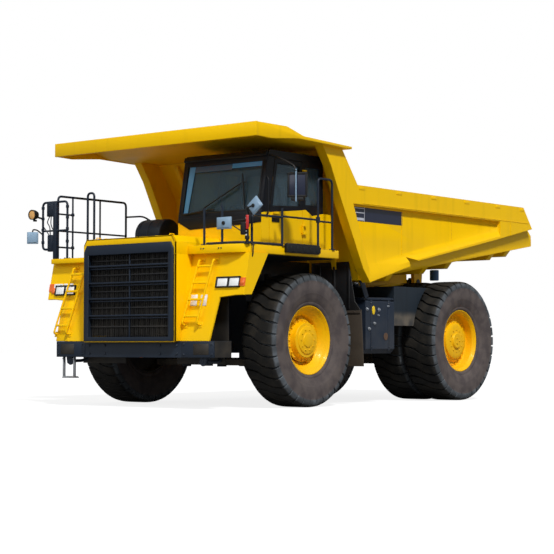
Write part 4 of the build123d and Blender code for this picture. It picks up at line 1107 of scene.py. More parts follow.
panel_out = on_panel(0, 0, 1) - on_panel(0, 0, 0)
for side_name, side in both_sides:
    shape = new_shape()
    # the right lamp sits further in and lower than the left one
    inward, lower = (0.0, 0.0) if side > 0 else (0.062, 0.050)
    for x_low, x_high, low, high in ((1.562, 2.036, 1.866, 1.884), (1.562, 2.036, 2.012, 2.032),
                                     (1.562, 1.583, 1.866, 2.032), (1.793, 1.823, 1.866, 2.032),
                                     (2.022, 2.036, 1.866, 2.032)):
        near, far = sorted((side * (x_low - inward), side * (x_high - inward)))
        panel_plate(shape, rectangle(near, far, low - lower, high - lower), -0.012, 0.030)
    place_piece(f"lamp_frame_{side_name}", shape, "trim_rubber")
    shape = new_shape()
    for x_low, x_high in ((1.584, 1.792), (1.824, 2.021)):
        near, far = sorted((side * (x_low - inward), side * (x_high - inward)))
        panel_plate(shape, rectangle(near, far, 1.885 - lower, 2.011 - lower), 0.0, 0.019, 0.010)
    place_piece(f"lamp_lens_{side_name}", shape, "lamp_lens")
    shape = new_shape()
    add_turned(shape, [(-0.01, 0.0), (-0.01, 0.050), (0.010, 0.052), (0.022, 0.046), (0.028, 0.034), (0.031, 0.016),
                       (0.032, 0.0)], on_panel(side * (2.084 - inward), 1.946 - lower), panel_out, 32)
    panel_plate(shape, rectangle(*sorted((side * (2.042 - inward), side * (2.122 - inward))), 1.898 - lower,
                                 1.994 - lower), 0.0, 0.016, 0.014)
    place_piece(f"indicator_dome_{side_name}", shape, "indicator_lens")
shape = new_shape()
# stiles as (x at the foot, height, x at the head, height), two to a ladder; the rungs sit at shares of the stiles'
# length
ladder_table = [((1.045, 1.300, 1.215, 2.290), (1.345, 1.300, 1.505, 2.290)),
                ((-1.770, 1.170, -1.545, 2.250), (-1.490, 1.170, -1.265, 2.250))]
for stiles in ladder_table:
    for x_foot, foot, x_head, head in stiles:
        add_pipe(shape, [on_panel(x_foot, foot, 0.0), on_panel(x_foot, foot, 0.085), on_panel(x_head, head, 0.085),
                         on_panel(x_head, head, 0.0)], 0.016, 0.05, 14)
        for x, height in ((x_foot, foot), (x_head, head)):
            add_block(shape, on_panel(x, height, 0.004), (0.10, 0.010, 0.09), panel_turn, 0.006)
            for dx in (-0.034, 0.034):
                add_bolt(shape, on_panel(x + dx, height, 0.008), panel_out, 0.018, 0.010)
    (a0, z0, a1, z1), (b0, _, b1, _) = stiles
    for share in (0.12, 0.38, 0.64, 0.90):
        height = z0 + (z1 - z0) * share
        near, far = a0 + (a1 - a0) * share, b0 + (b1 - b0) * share
        panel_plate(shape, rectangle(near, far, height - 0.016, height + 0.016), 0.066, 0.0995, 0.004)
ladders = place_piece("panel_ladders", shape, "yellow_paint")
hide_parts("ladders")
shape = new_shape()
panel_plate(shape, rectangle(-1.500, -1.775, 1.060, 1.745), -0.020, 0.004, 0.004)
place_piece("panel_edge", shape, "yellow_paint")
shape = new_shape()
panel_plate(shape, rectangle(1.085, 1.215, 1.597, 1.769), 0.0005, 0.006, 0.002)
panel_plate(shape, rectangle(1.282, 1.415, 1.594, 1.766), 0.0005, 0.006, 0.002)
place_piece("blank_plates", shape, "white_plate")
shape = new_shape()
for low, high in ((1.492, 1.652), (1.247, 1.431)):
    shift = (high - low) * -0.12
    panel_plate(shape, rectangle(-1.640, -1.530, low, high, shift), 0.0005, 0.003, 0.0)
panel_plate(shape, [(-1.60, 1.210), (-1.552, 1.210), (-1.597, 1.150)], 0.0005, 0.003, 0.0)
place_piece("grip_stripes", shape, "stripe_grey")
print("front panels dressed")

# %% [markdown]
# ## Bumper
# A pressed beam with two deep windows, whose shade is painted on thin black plates. Bolts hold it
# to the frame, a pin stands in each tow lug, and the lowest step hangs under its right half
# from flat straps with an open tread.

# %% bumper and steps
shape = new_shape()
for x in (-0.95, -0.60, 0.60, 0.95):
    for height in (0.86, 0.99):
        add_bolt(shape, (x, at(-1.999), height), (0, -1, 0), 0.034, 0.016)
for side in (-1, 1):
    span(shape, (side * 1.050, -2.006, 0.805), (side * 1.712, -1.985, 1.050), 0.006)
    for x, height in ((1.10, 0.85), (1.10, 1.005), (1.665, 0.85), (1.665, 1.005)):
        add_bolt(shape, (side * x, at(-2.005), height), (0, -1, 0), 0.026, 0.014)
place_piece("bumper_bolts", shape, "navy_paint")
shape = new_shape()
# painted shade: black plates over the two windows stand for the shade in their recesses, and one on the left end
# block's side for the shade on that face
for side in (-1, 1):
    span(shape, (side * 1.300, -2.0085, 0.845), (side * 1.610, -2.004, 1.015), 0.002)
span(shape, (1.7165, -1.990, 0.803), (1.7195, -1.602, 1.052), 0.0)
place_piece("bumper_window_shade", shape, "screen_and_shade_black")
shape = new_shape()
for side in (-1, 1):
    add_turned(shape, [(0, 0.0), (0, 0.062), (0.006, 0.070), (0.020, 0.072), (0.030, 0.066), (0.032, 0.030),
                       (0.040, 0.026), (0.042, 0.0)], (side * 1.445, at(-1.925), 0.742), (0, -1, 0), 36)
    add_bar(shape, (side * 1.455, at(-1.900), 0.735), (side * 1.545, at(-1.900), 0.735), 0.030, 20)
    add_run(shape, [(side * 1.50, -1.86, 0.735), (side * 1.50, -1.60, 0.740), (side * 1.38, -1.50, 0.80)], 0.026, 0.08)
place_piece("tow_pins", shape, "navy_paint")
shape = new_shape()
for x in (-1.588, -1.345):
    span(shape, (x - 0.012, -1.972, 0.480), (x + 0.012, -1.925, 0.802), 0.004)
    add_bolt(shape, (x, at(-1.972), 0.775), (0, -1, 0), 0.020, 0.012)
span(shape, (-1.600, -1.985, 0.458), (-1.333, -1.855, 0.478), 0.006)
for index in range(7):
    x = -1.575 + 0.215 * index / 6
    span(shape, (x - 0.005, -1.980, 0.476), (x + 0.005, -1.860, 0.488), 0.001)
steps = place_piece("low_step", shape, "step_steel")
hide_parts("front_steps")
print("bumper dressed")

# %% [markdown]
# ## Deck
# The deck is walked on, so it carries raised tread plate, a toe bar round its edge and a
# flange with bolts under each rail post. A dark step box hangs on the edge by the door.

# %% deck plates, toe bar and step box
shape = new_shape()
for side in (-1, 1):
    outline = [(side * 1.02, -1.770), (side * 1.84, -1.770), (side * 2.00, -1.710), (side * 2.07, -1.590),
               (side * 2.09, 0.62), (side * 1.84, 0.64), (side * 1.84, -1.02), (side * 1.02, -1.02)]
    level = deck_top if side > 0 else low_deck
    add_prism(shape, outline if side > 0 else outline[::-1], level - 0.001, level + 0.0035, from_above, 0.001)
place_piece("tread_plates", shape, "tread_plate")
shape = new_shape()
toe_line = ((1.36, -1.765), (1.85, -1.765), (2.02, -1.695), (2.085, -1.57), (2.095, -0.84))
add_pipe(shape, [(x, at(station), deck_top + 0.022) for x, station in toe_line], 0.019, 0.08)
for x in (1.48, 1.80):
    add_block(shape, (x, at(-1.765), deck_top + 0.008), (0.04, 0.05, 0.02))
post_feet = [(1.293, -1.75), (1.657, -1.75), (2.08, -1.55), (2.08, -0.81), (2.08, 0.115), (2.08, 0.493),
             (2.08, -1.66), (-1.12, -1.74), (-1.27, -1.74), (-1.74, -1.75), (-2.08, -1.64), (-2.08, -1.30),
             (-2.08, -0.65), (-2.08, -0.01), (-1.65, 0.34)]
for x, station in post_feet:
    level = deck_top if x > 0 else low_deck
    add_block(shape, (x, at(station), level + 0.006), (0.078, 0.078, 0.012))
    for dx, dy in ((-0.028, -0.028), (0.028, -0.028), (-0.028, 0.028), (0.028, 0.028)):
        add_bolt(shape, (x + dx, at(station) + dy, level + 0.012), (0, 0, 1), 0.013, 0.009)
for x in (1.27, 1.32, 1.63, 1.68):
    add_bolt(shape, (x, at(-1.799), deck_top - 0.055), (0, -1, 0), 0.018, 0.012)
place_piece("deck_fixings", shape, "navy_paint")
shape = new_shape()
span(shape, (2.098, -0.780, 2.435), (2.172, 0.050, 2.578), 0.012)
for index in range(5):
    y = -0.70 + 0.165 * index
    span(shape, (2.172, y, 2.455), (2.178, y + 0.10, 2.545), 0.002)
for index in range(14):
    y = -0.76 + 0.0585 * index
    span(shape, (2.104, y, 2.574), (2.166, y + 0.02, 2.584), 0.001)
place_piece("door_step", shape, "trim_rubber")
shape = new_shape()
add_run(shape, [(2.085, -1.60, deck_top + 0.02), (2.150, -1.60, deck_top - 0.01), (2.150, -1.61, 2.36),
                (2.100, -1.60, 2.30)], 0.011, 0.05, 10)
place_piece("corner_hose", shape, "trim_rubber")
print("deck dressed")

# %% [markdown]
# ## Mirrors and corner lamps
# The mirrors are shallow cases on thin arms. They are seen from behind: pale grey blue
# backs with a dark pivot, and the glass on the other face. The tall one beside the door
# has a dark frame and a pale grab bar in front. On the right corner stand one more mirror
# and a round lamp with an amber lens.

# %% mirrors
def mirror_case(shape, glass, middle, size, turn=Matrix.Identity(3), depth=0.032):
    """A rounded case with its glass on the side that looks back, and a pivot on its front."""
    add_block(shape, middle, (size[0], depth, size[1]), turn, 0.014)
    add_block(shape, Vector(middle) + turn @ Vector((0, -depth * 0.55, 0)), (size[0] * 0.80, 0.012, size[1] * 0.78),
              turn, 0.010)
    add_block(glass, Vector(middle) + turn @ Vector((0, depth * 0.53, 0)), (size[0] - 0.03, 0.006, size[1] - 0.03),
              turn, 0.002)


tilted = Matrix.Rotation(math.radians(-40), 3, "Y")
cases, glass, arms = new_shape(), new_shape(), new_shape()
mirror_case(cases, glass, (1.7275, at(-1.785), 2.852), (0.285, 0.185))
mirror_case(cases, glass, (2.268, at(-1.700), 3.100), (0.225, 0.195), tilted)
turned = Matrix.Rotation(math.radians(35), 3, "Z")
mirror_case(cases, glass, (-2.355, at(-1.960), 2.790), (0.190, 0.200), turned)
tall_turn = Matrix.Rotation(math.atan2(0.133, 0.29), 3, "Z")
tall_middle = Vector((2.285, at(-0.6835), 3.490))
tall_back = new_shape()
add_block(tall_back, tall_middle, (0.262, 0.016, 0.330), tall_turn, 0.004)
place_piece("tall_mirror_back", tall_back, "decal_navy", "chassis", "mirror_case")
add_block(glass, tall_middle + tall_turn @ Vector((0, 0.011, 0)), (0.250, 0.004, 0.320), tall_turn, 0.001)
for dx, dz, wide, high in ((0, 0.178, 0.318, 0.034), (0, -0.178, 0.318, 0.034), (-0.144, 0, 0.030, 0.390),
                           (0.144, 0, 0.030, 0.390)):
    add_block(arms, tall_middle + tall_turn @ Vector((dx, 0, dz)), (wide, 0.040, high), tall_turn, 0.010)
add_block(arms, tall_middle + Vector((0, 0, -0.222)), (0.20, 0.05, 0.055), tall_turn, 0.014)
add_bar(arms, (2.08, at(-1.66), deck_top), (2.08, at(-1.66), 3.10), 0.024, 20)
add_run(arms, [(2.08, -1.66, 2.90), (1.90, -1.745, 2.88), (1.74, -1.80, 2.852)], 0.013, 0.05)
add_run(arms, [(2.08, -1.66, 3.06), (2.17, -1.72, 3.08), (2.255, -1.722, 3.10)], 0.013, 0.05)
add_run(arms, [(2.08, -1.66, 2.66), (1.98, -1.72, 2.74), (1.86, -1.76, 2.82)], 0.009, 0.03)
for x, y, z in ((1.735, -1.812, 2.852), (2.250, -1.726, 3.095)):
    add_turned(arms, [(0, 0), (0, 0.030), (0.012, 0.028), (0.016, 0)], (x, at(y), z), (0, -1, 0), 20)
for height in (2.60, 2.78, 2.96):
    add_turned(arms, [(0, 0.024), (0, 0.036), (0.05, 0.036), (0.05, 0.024)], (2.08, at(-1.66), height), (0, 0, 1), 20,
               closed=True)
add_block(arms, (2.035, at(-1.69), 2.76), (0.085, 0.07, 0.19), rounding=0.012)
add_run(arms, [(-2.33, -1.75, 3.12), (-2.35, -1.83, 3.14), (-2.365, -1.89, 3.16)], 0.016, 0.03)
add_run(arms, [(-2.33, -1.75, 2.85), (-2.355, -1.86, 2.93), (-2.355, -1.96, 2.93), (-2.355, -1.96, 2.86)], 0.012, 0.04)
place_piece("mirror_arms", arms, "trim_rubber")
cases_piece = place_piece("mirror_backs", cases, "mirror_case")
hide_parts("mirrors")
place_piece("mirror_faces", glass, "mirror_glass")
shape = new_shape()
add_run(shape, [(2.285, -0.722, 3.225), (2.285, -0.722, 3.735)], 0.012, 0.10)
place_piece("mirror_bar", shape, "mirror_case")
shape = new_shape()
add_run(shape, [(2.285, -0.722, 3.70), (2.250, -0.725, 3.79), (2.05, -0.745, 3.90), (1.808, -0.765, 3.985)], 0.015,
        0.10)
place_piece("mirror_stay", shape, "screen_and_shade_black", "chassis", "mirror_case")
shape = new_shape()
add_turned(shape, [(0.0, 0.0), (0.0, 0.040), (0.012, 0.066), (0.060, 0.083), (0.118, 0.085), (0.1195, 0.080),
                   (0.114, 0.076), (0.100, 0.074), (0.100, 0.0)], (-2.365, at(-1.8605), 3.180), (0, -1, 0), 40)
add_block(shape, (-2.365, at(-1.90), 3.085), (0.05, 0.05, 0.03), rounding=0.006)
place_piece("corner_lamp", shape, "trim_rubber")
shape = new_shape()
add_turned(shape, [(0.0, 0.0), (0.0, 0.073), (0.006, 0.072), (0.012, 0.050), (0.014, 0.0)],
           (-2.365, at(-1.961), 3.180), (0, -1, 0), 36)
place_piece("corner_lamp_lens", shape, "amber_glass")
shape = new_shape()
# the reflector's lens glows faintly though it is no lamp: painted light
add_block(shape, (2.118, at(-1.705), 2.855), (0.050, 0.016, 0.215), rounding=0.006)
place_piece("red_reflector", shape, "red_lens")
shape = new_shape()
for height in (2.66, 2.72, 2.79, 2.85, 2.92):
    add_turned(shape, [(0, 0), (0, 0.014), (0.008, 0.012), (0.010, 0)], (2.082, at(-1.685), height), (0, -1, 0), 14)
place_piece("pale_studs", shape, "white_plate")
print("mirrors dressed")

# %% [markdown]
# ## Right corner cases
# On the right mirror frame hang two dark cases, with cables looping between them and
# clamps on the posts.

# %% corner cases
shape = new_shape()
for x, z, high in ((-2.125, 3.268, 0.20), (-2.115, 2.700, 0.24)):
    span(shape, (x - 0.055, -1.797, z - high / 2), (x + 0.055, -1.788, z + high / 2), 0.004)
    for dz in (-0.3, 0.3):
        add_bolt(shape, (x, at(-1.797), z + dz * high), (0, -1, 0), 0.016, 0.009)
add_run(shape, [(-2.16, -1.76, 3.15), (-2.19, -1.79, 3.05), (-2.12, -1.79, 2.98), (-2.14, -1.76, 2.84)], 0.009, 0.06, 8)
add_run(shape, [(-2.12, -1.76, 3.15), (-2.11, -1.78, 3.02), (-2.06, -1.78, 2.93)], 0.009, 0.06, 8)
add_run(shape, [(-2.33, -1.75, 3.00), (-2.24, -1.77, 2.93), (-2.17, -1.76, 2.84)], 0.008, 0.06, 8)
for height in (2.70, 2.91, 3.10, 3.28):
    for x in (-1.74, -2.33):
        add_turned(shape, [(0, 0.019), (0, 0.027), (0.045, 0.027), (0.045, 0.019)], (x, at(-1.75), height), (0, 0, 1),
                   18, closed=True)
for height in (2.62, 3.18):
    add_turned(shape, [(0, 0.015), (0, 0.026), (0.05, 0.026), (0.05, 0.015)], (-2.08, at(-1.30), height), (0, 0, 1),
               18, closed=True)
place_piece("corner_cases", shape, "navy_paint")
print("right corner dressed")

# %% [markdown]
# ## Cab
# The windscreen is one flat pane in a black gasket, with a wiper and a dark visor above.
# Under it runs a dark trim whose right corner is cut off. The doors' upper halves are dark
# frames round the window. All of it is thin trim on the cab's sheet metal, and pale blue
# strips behind the glass are painted reflections of the sky.

# %% cab trim
screen_foot, screen_head = (-0.980, 3.040), (-0.815, 3.990)
screen_lean = math.atan2(screen_head[0] - screen_foot[0], screen_head[1] - screen_foot[1])


def on_screen(x, height, off=0.0):
    """A point on the plane of the windscreen's frame, moved off it towards the front."""
    station = screen_foot[0] + (height - screen_foot[1]) * math.tan(screen_lean)
    return Vector((x, at(station) - off * math.cos(screen_lean), height + off * math.sin(screen_lean)))


def screen_strip(shape, outline, low, high, rounding=0.003):
    """A flat form on the windscreen's plane from an outline of (x, height) points."""
    add_prism(shape, outline, low, high, on_screen, rounding)


shape = new_shape()
for outline in (rectangle(0.052, 1.798, 3.045, 3.118), rectangle(0.052, 1.798, 3.912, 3.985),
                rectangle(0.052, 0.133, 3.118, 3.912), rectangle(1.717, 1.798, 3.118, 3.912)):
    screen_strip(shape, outline, -0.002, 0.007)
trim = [(0.052, 3.046), (0.056, 2.985), (0.300, 2.857), (1.460, 2.895), (1.798, 2.917), (1.798, 3.046)]
add_prism(shape, trim, -0.988, -0.978, from_front, 0.003)
add_prism(shape, [(-0.800, 4.060), (-0.800, 3.985), (-0.850, 3.975), (-0.862, 3.995), (-0.830, 4.062)], 0.060, 1.790,
          from_side, 0.008)
place_piece("screen_trim", shape, "cab_black", "chassis", "cab_plastic")
shape = new_shape()
for outline in (rectangle(0.128, 1.722, 3.108, 3.132), rectangle(0.128, 1.722, 3.898, 3.922),
                rectangle(0.118, 0.142, 3.108, 3.922), rectangle(1.708, 1.732, 3.108, 3.922)):
    screen_strip(shape, outline, 0.004, 0.013, 0.004)
place_piece("screen_gasket", shape, "trim_rubber")
shape = new_shape()
# painted reflection: pale blue strips behind the glass, a slanted one at the left edge and a patch along the top right,
# stand for the sky reflected in the windscreen
screen_strip(shape, [(0.146, 3.134), (0.236, 3.134), (0.292, 3.896), (0.170, 3.896)], -0.012, -0.009, 0.0)
screen_strip(shape, rectangle(1.080, 1.700, 3.822, 3.896), -0.012, -0.009, 0.0)
place_piece("screen_reflection_patches", shape, "shade_blue")
shape = new_shape()
# painted reflection: a darker blue band along the top of the windscreen
screen_strip(shape, rectangle(0.292, 1.076, 3.800, 3.896), -0.012, -0.009, 0.0)
place_piece("screen_reflection_band", shape, "band_blue")
shape = new_shape()
pivot = on_screen(0.62, 3.085, 0.018)
add_turned(shape, [(0, 0), (0, 0.030), (0.020, 0.026), (0.026, 0)], pivot,
           on_screen(0, 3.1, 1) - on_screen(0, 3.1, 0), 20)
add_pipe(shape, [on_screen(0.62, 3.085, 0.034), on_screen(0.64, 3.20, 0.040), on_screen(1.367, 3.563, 0.036),
                 on_screen(1.446, 3.561, 0.030)], 0.011, 0.05, 10)
add_pipe(shape, [on_screen(0.56, 3.085, 0.030), on_screen(0.60, 3.19, 0.032), on_screen(1.30, 3.545, 0.030)], 0.007,
         0.05, 8)
add_pipe(shape, [on_screen(0.17, 3.100, 0.022), on_screen(0.62, 3.150, 0.028), on_screen(0.82, 3.158, 0.022)], 0.013,
         0.05, 8)
add_block(shape, on_screen(1.405, 3.40, 0.016), (0.022, 0.018, 0.62), Matrix.Rotation(-0.09, 3, "Y"), 0.005)
place_piece("wiper", shape, "trim_rubber")
print("windscreen dressed")

# %% [markdown]
# ## Doors
# Each door gets a dark cover on its upper frame, a rubber seal round the window and a
# handle with a lock. These ride on the door's body, so they swing with it.

# %% doors
window = [(-0.010, 3.230), (-0.010, 3.870), (-0.585, 3.870), (-0.700, 3.190)]
frame_top = [(0.058, 3.170), (0.058, 3.943), (-0.639, 3.943), (-0.776, 3.085)]


def ring_strips(outer, inner):
    """The four quads between two four-sided outlines."""
    return [[outer[k], outer[(k + 1) % 4], inner[(k + 1) % 4], inner[k]] for k in range(4)]


def grown(outline, amount):
    """An outline whose corners move away from its middle, both ways by the same amount."""
    middle_y = sum(p[0] for p in outline) / len(outline)
    middle_z = sum(p[1] for p in outline) / len(outline)
    return [(y + math.copysign(amount, y - middle_y), z + math.copysign(amount, z - middle_z)) for y, z in outline]


for side_name, side in both_sides:
    skin = 1.800 if side > 0 else 0.050
    shape = new_shape()
    for strip in ring_strips(frame_top, window):
        add_prism(shape, strip, skin, skin + side * 0.0035, from_side, 0.0)
        add_prism(shape, strip, skin - side * 0.0535, skin - side * 0.050, from_side, 0.0)
    place_piece(f"door_frame_{side_name}", shape, "cab_black", f"door_{side_name}")
    shape = new_shape()
    for strip in ring_strips(grown(window, 0.014), grown(window, -0.008)):
        add_prism(shape, strip, skin + side * 0.001, skin + side * 0.0065, from_side, 0.0015)
    place_piece(f"window_seal_{side_name}", shape, "trim_rubber", f"door_{side_name}")
    shape = new_shape()
    add_block(shape, (skin + side * 0.006, at(-0.630), 2.985), (0.012, 0.19, 0.10), rounding=0.010)
    grip_line = ((0.010, -0.700), (0.038, -0.690), (0.038, -0.575), (0.010, -0.565))
    add_pipe(shape, [(skin + side * off, at(station), 3.000) for off, station in grip_line], 0.009, 0.03)
    add_turned(shape, [(0, 0), (0, 0.014), (0.008, 0.012), (0.010, 0)], (skin + side * 0.010, at(-0.64), 2.955),
               (side, 0, 0), 16)
    place_piece(f"door_handle_{side_name}", shape, "trim_rubber", f"door_{side_name}")
shape = new_shape()
add_run(shape, [(1.800, -0.870, 3.03), (1.845, -0.870, 3.05), (1.835, -0.840, 3.60), (1.795, -0.838, 3.64)], 0.012,
        0.04)
place_piece("grab_bars", shape, "cab_black")
print("doors dressed")

# %% [markdown]
# ## Inside the cab
# Through the glass the dash, the steering wheel and the seat show. The wheel is a padded
# ring on three spokes. The seat's cushion and back are soft: each starts as a block with
# round edges that is blown up a little as cloth, its rim held, and settles into a crown.

# %% dash and steering wheel
shape = new_shape()
hub = Vector((0.900, at(-0.420), 3.090))
axis = Vector((0, 0.280, 0.190)).normalized()
along, first, second = axis_frame(axis)
ring_points, wheel_radius = 40, 0.207
for turn in range(ring_points):
    a0, a1 = (2 * math.pi * k / ring_points for k in (turn, turn + 1))
    start, end = (hub + (first * math.cos(a) + second * math.sin(a)) * wheel_radius for a in (a0, a1))
    add_turned(shape, [(0, 0.0155), ((end - start).length, 0.0155)], start, end - start, 12)
for angle in (0.5, 2.6, 4.7):
    add_pipe(shape, [hub, hub + (first * math.cos(angle) + second * math.sin(angle)) * 0.200], 0.011)
add_turned(shape, [(-0.03, 0.0), (-0.03, 0.05), (0.005, 0.058), (0.016, 0.045), (0.020, 0.0)], hub, axis, 28)
add_block(shape, (0.900, at(-0.775), 3.035), (0.44, 0.20, 0.07), rounding=0.03)
for x in (0.76, 0.90, 1.04):
    add_turned(shape, [(0, 0), (0, 0.052), (0.012, 0.050), (0.016, 0.042), (0.010, 0.040), (0.010, 0)],
               (x, at(-0.672), 3.045), (0, 0.8, 0.6), 28)
add_block(shape, (1.420, at(-0.180), 2.790), (0.28, 0.60, 0.26), rounding=0.04)
for x, y in ((1.38, -0.35), (1.46, -0.25)):
    add_run(shape, [(x, y, 2.90), (x, y + 0.02, 3.05)], 0.010)
    add_turned(shape, [(-0.03, 0), (-0.022, 0.02), (0, 0.027), (0.022, 0.02), (0.03, 0)], (x, at(y + 0.022), 3.07),
               (0, 0, 1), 20)
place_piece("dash_details", shape, "cab_plastic")
print("dash and steering wheel made")


# %% seat
def cushion_form(low, high, rounding):
    """A closed block with round edges, cut fine enough for cloth."""
    form = bmesh.new()
    bmesh.ops.create_cube(form, size=1.0)
    bmesh.ops.scale(form, vec=high - low, verts=form.verts)
    bmesh.ops.translate(form, vec=(low + high) / 2, verts=form.verts)
    ease(form, form.faces[:], rounding, 4)
    return form


def blown_cushion(name, low, high, up, pressure=4.0, cell=0.016, swell=0.030):
    """Blows a cushion up as cloth with its base rim held, and returns the settled mesh."""
    form = cushion_form(low, high, 0.045)
    data = bpy.data.meshes.new(name)
    form.to_mesh(data)
    form.free()
    piece = bpy.data.objects.new(name, data)
    scene.collection.objects.link(piece)
    remesh = piece.modifiers.new("even_cells", "REMESH")
    remesh.mode = "VOXEL"
    remesh.voxel_size = cell
    settle(piece)
    before = [vertex.co.copy() for vertex in piece.data.vertices]
    held = piece.vertex_groups.new(name="held")
    depth = (high - low).dot(up)
    base = min(vertex.co.dot(up) for vertex in piece.data.vertices)
    held.add([v.index for v in piece.data.vertices if v.co.dot(up) < base + 0.35 * depth], 1.0, "REPLACE")
    cloth = piece.modifiers.new("air", "CLOTH")
    cloth.settings.use_pressure = True
    cloth.settings.uniform_pressure_force = pressure
    cloth.settings.effector_weights.gravity = 0.0
    cloth.settings.vertex_group_mass = "held"
    cloth.settings.quality = 6
    cloth.settings.tension_stiffness = 12
    cloth.settings.bending_stiffness = 0.6
    cloth.point_cache.frame_start, cloth.point_cache.frame_end = 1, 20
    for frame_number in range(1, 21):
        scene.frame_set(frame_number)
    settle(piece)
    scene.frame_set(1)
    for vertex, start in zip(piece.data.vertices, before):
        moved = vertex.co - start
        if moved.length > swell:
            vertex.co = start + moved.normalized() * swell
    smooth_out = piece.modifiers.new("soften", "SUBSURF")
    smooth_out.levels = 1
    settle(piece)
    return piece


base = blown_cushion("seat_cushion", Vector((0.665, at(-0.045), 2.920)), Vector((1.135, at(0.400), 3.035)),
                     Vector((0, 0, 1)))
back = blown_cushion("seat_back", Vector((0.690, at(0.400), 3.090)), Vector((1.110, at(0.480), 3.670)),
                     Vector((0, -1, 0)))
shape = new_shape()
for soft in (base, back):
    shape.from_mesh(soft.data)
    bpy.data.objects.remove(soft)
for x in (0.668, 1.132):
    add_run(shape, [(x, -0.02, 2.985), (x, 0.38, 2.985)], 0.006)
seat = place_piece("seat_cushions", shape, "seat_cloth", "chassis", "seat_fabric", 60)
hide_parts("seat")
shape = new_shape()
for low, high in (((0.655, -0.055, 2.902), (1.145, 0.435, 2.930)), ((0.680, 0.455, 3.060), (1.120, 0.500, 3.620))):
    span(shape, low, high, 0.010)
add_bar(shape, (0.640, at(0.36), 3.02), (0.640, at(0.46), 3.02), 0.02)
place_piece("seat_shell", shape, "cab_plastic")
print("cab interior dressed")

# %% [markdown]
# ## Dump body
# Each side of the body is a thick hollow wall with a shallow recess whose lower border
# slopes out to the face. The construction model has the recess with a plain step, so a
# wedge is cut along that border from a copy, with a boolean. A navy band with pale
# stripes at its front end runs along the recess, and weld seams mark the plates' joints.

# %% body sides with a sloping border
body_outer, body_inner = 2.100, 1.935
recess_deep = [(1.060, 3.330), (5.790, 3.330), (5.790, 3.190), (1.480, 2.330)]
recess_open = [(1.060, 3.330), (5.790, 3.330), (5.790, 3.049), (1.535, 2.200)]
recess_depth = 0.085
recess_face = body_outer - recess_depth


def recess_cutter(side):
    """The tapered pocket between the deep outline and the open one, a little proud of the face."""
    form = bmesh.new()
    rings = []
    for share in (0.0, 1.0, 1.25):
        x = side * (recess_face + recess_depth * share)
        rings.append([form.verts.new((x, at(a + (c - a) * min(share, 1.0)), b + (d - b) * min(share, 1.0)))
                      for (a, b), (c, d) in zip(recess_deep, recess_open)])
    for near, far in zip(rings, rings[1:]):
        for index in range(4):
            after = (index + 1) % 4
            form.faces.new((near[index], near[after], far[after], far[index]))
    form.faces.new(rings[0][::-1])
    form.faces.new(rings[-1])
    bmesh.ops.recalc_face_normals(form, faces=form.faces)
    data = bpy.data.meshes.new("recess_cutter")
    form.to_mesh(data)
    form.free()
    cutter = bpy.data.objects.new("recess_cutter", data)
    scene.collection.objects.link(cutter)
    return cutter


for side_name, side in both_sides:
    copy = bpy.data.objects.new("wall_copy", nodes[f"body_side_{side_name}"].data.copy())
    scene.collection.objects.link(copy)
    cutter = recess_cutter(side)
    cut = copy.modifiers.new("recess", "BOOLEAN")
    cut.operation = "DIFFERENCE"
    cut.solver = "EXACT"
    cut.object = cutter
    settle(copy)
    shape = new_shape()
    shape.from_mesh(copy.data)
    bpy.data.objects.remove(copy)
    bpy.data.objects.remove(cutter)
    wall = place_piece(f"body_wall_{side_name}", shape, "body_yellow", "dump_body", "yellow_paint", 20)
    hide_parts(f"body_side_{side_name}")
    print(wall.name, "faces", len(wall.data.polygons))

# %% floor ribs
shape = new_shape()
floor_line = ((1.500, 2.080), (7.245, 2.940))


def under_floor(station):
    """The height of the floor's underside at a station."""
    (y1, z1), (y2, z2) = floor_line
    return z1 + (station - y1) * (z2 - z1) / (y2 - y1)


# the last two ribs run right across; the others leave room for the long beams
for station in (2.450, 3.550, 4.350, 5.850, 6.450):
    for side in (-1, 1):
        low = under_floor(station) - 0.120
        start = 0.56 if station < 5.35 else 0.02
        outline = [(side * start, low + 0.13), (side * 1.90, low + 0.13), (side * 1.79, low), (side * start, low)]
        add_prism(shape, outline, station - 0.070, station + 0.070, from_front, 0.006)
place_piece("floor_ribs", shape, "body_yellow", "dump_body")
print("floor ribs made")


# %% weld seams
def add_weld(shape, start, end, radius=0.009, pitch=0.045):
    """A weld seam: a thin bar whose radius swells with every pass of the torch."""
    start, end = Vector(start), Vector(end)
    length = (end - start).length
    beads = max(4, int(length / pitch))
    profile = [(0.0, 0.0)]
    for bead in range(beads):
        profile += [(length * bead / beads, radius * 0.78), (length * (bead + 0.5) / beads, radius)]
    profile += [(length, radius * 0.78), (length, 0.0)]
    add_turned(shape, profile, start, end - start, 6)


shape = new_shape()
for side in (-1, 1):
    x = side * recess_face
    for station, low, high in ((2.600, 2.556, 3.330), (4.200, 2.875, 3.330)):
        add_weld(shape, (x, at(station), low), (x, at(station), high))
    add_weld(shape, (side * body_outer, at(6.18), 3.08), (side * body_outer, at(6.18), 3.345))
    add_weld(shape, (side * body_outer, at(1.33), 3.352), (side * body_outer, at(6.88), 3.352))
    add_weld(shape, (side * body_inner, at(1.60), 2.235), (side * body_inner, at(7.05), 3.043))
    for station, high in ((2.9, 3.64), (4.8, 3.64)):
        add_weld(shape, (side * body_inner, at(station), 2.2 + (station - 1.5) * 0.15 + 0.03),
                 (side * body_inner, at(station), high))
for x in (-1.2, -0.6, 0.0, 0.6, 1.2):
    add_weld(shape, (x, at(1.56), 2.212), (x, at(7.10), 3.041))
    add_weld(shape, (x, at(-0.38), 4.284), (x, at(0.84), 4.246))
add_weld(shape, (-1.93, at(1.495), 2.225), (1.93, at(1.495), 2.225))
place_piece("weld_seams", shape, "body_yellow", "dump_body")
print("body plates dressed")

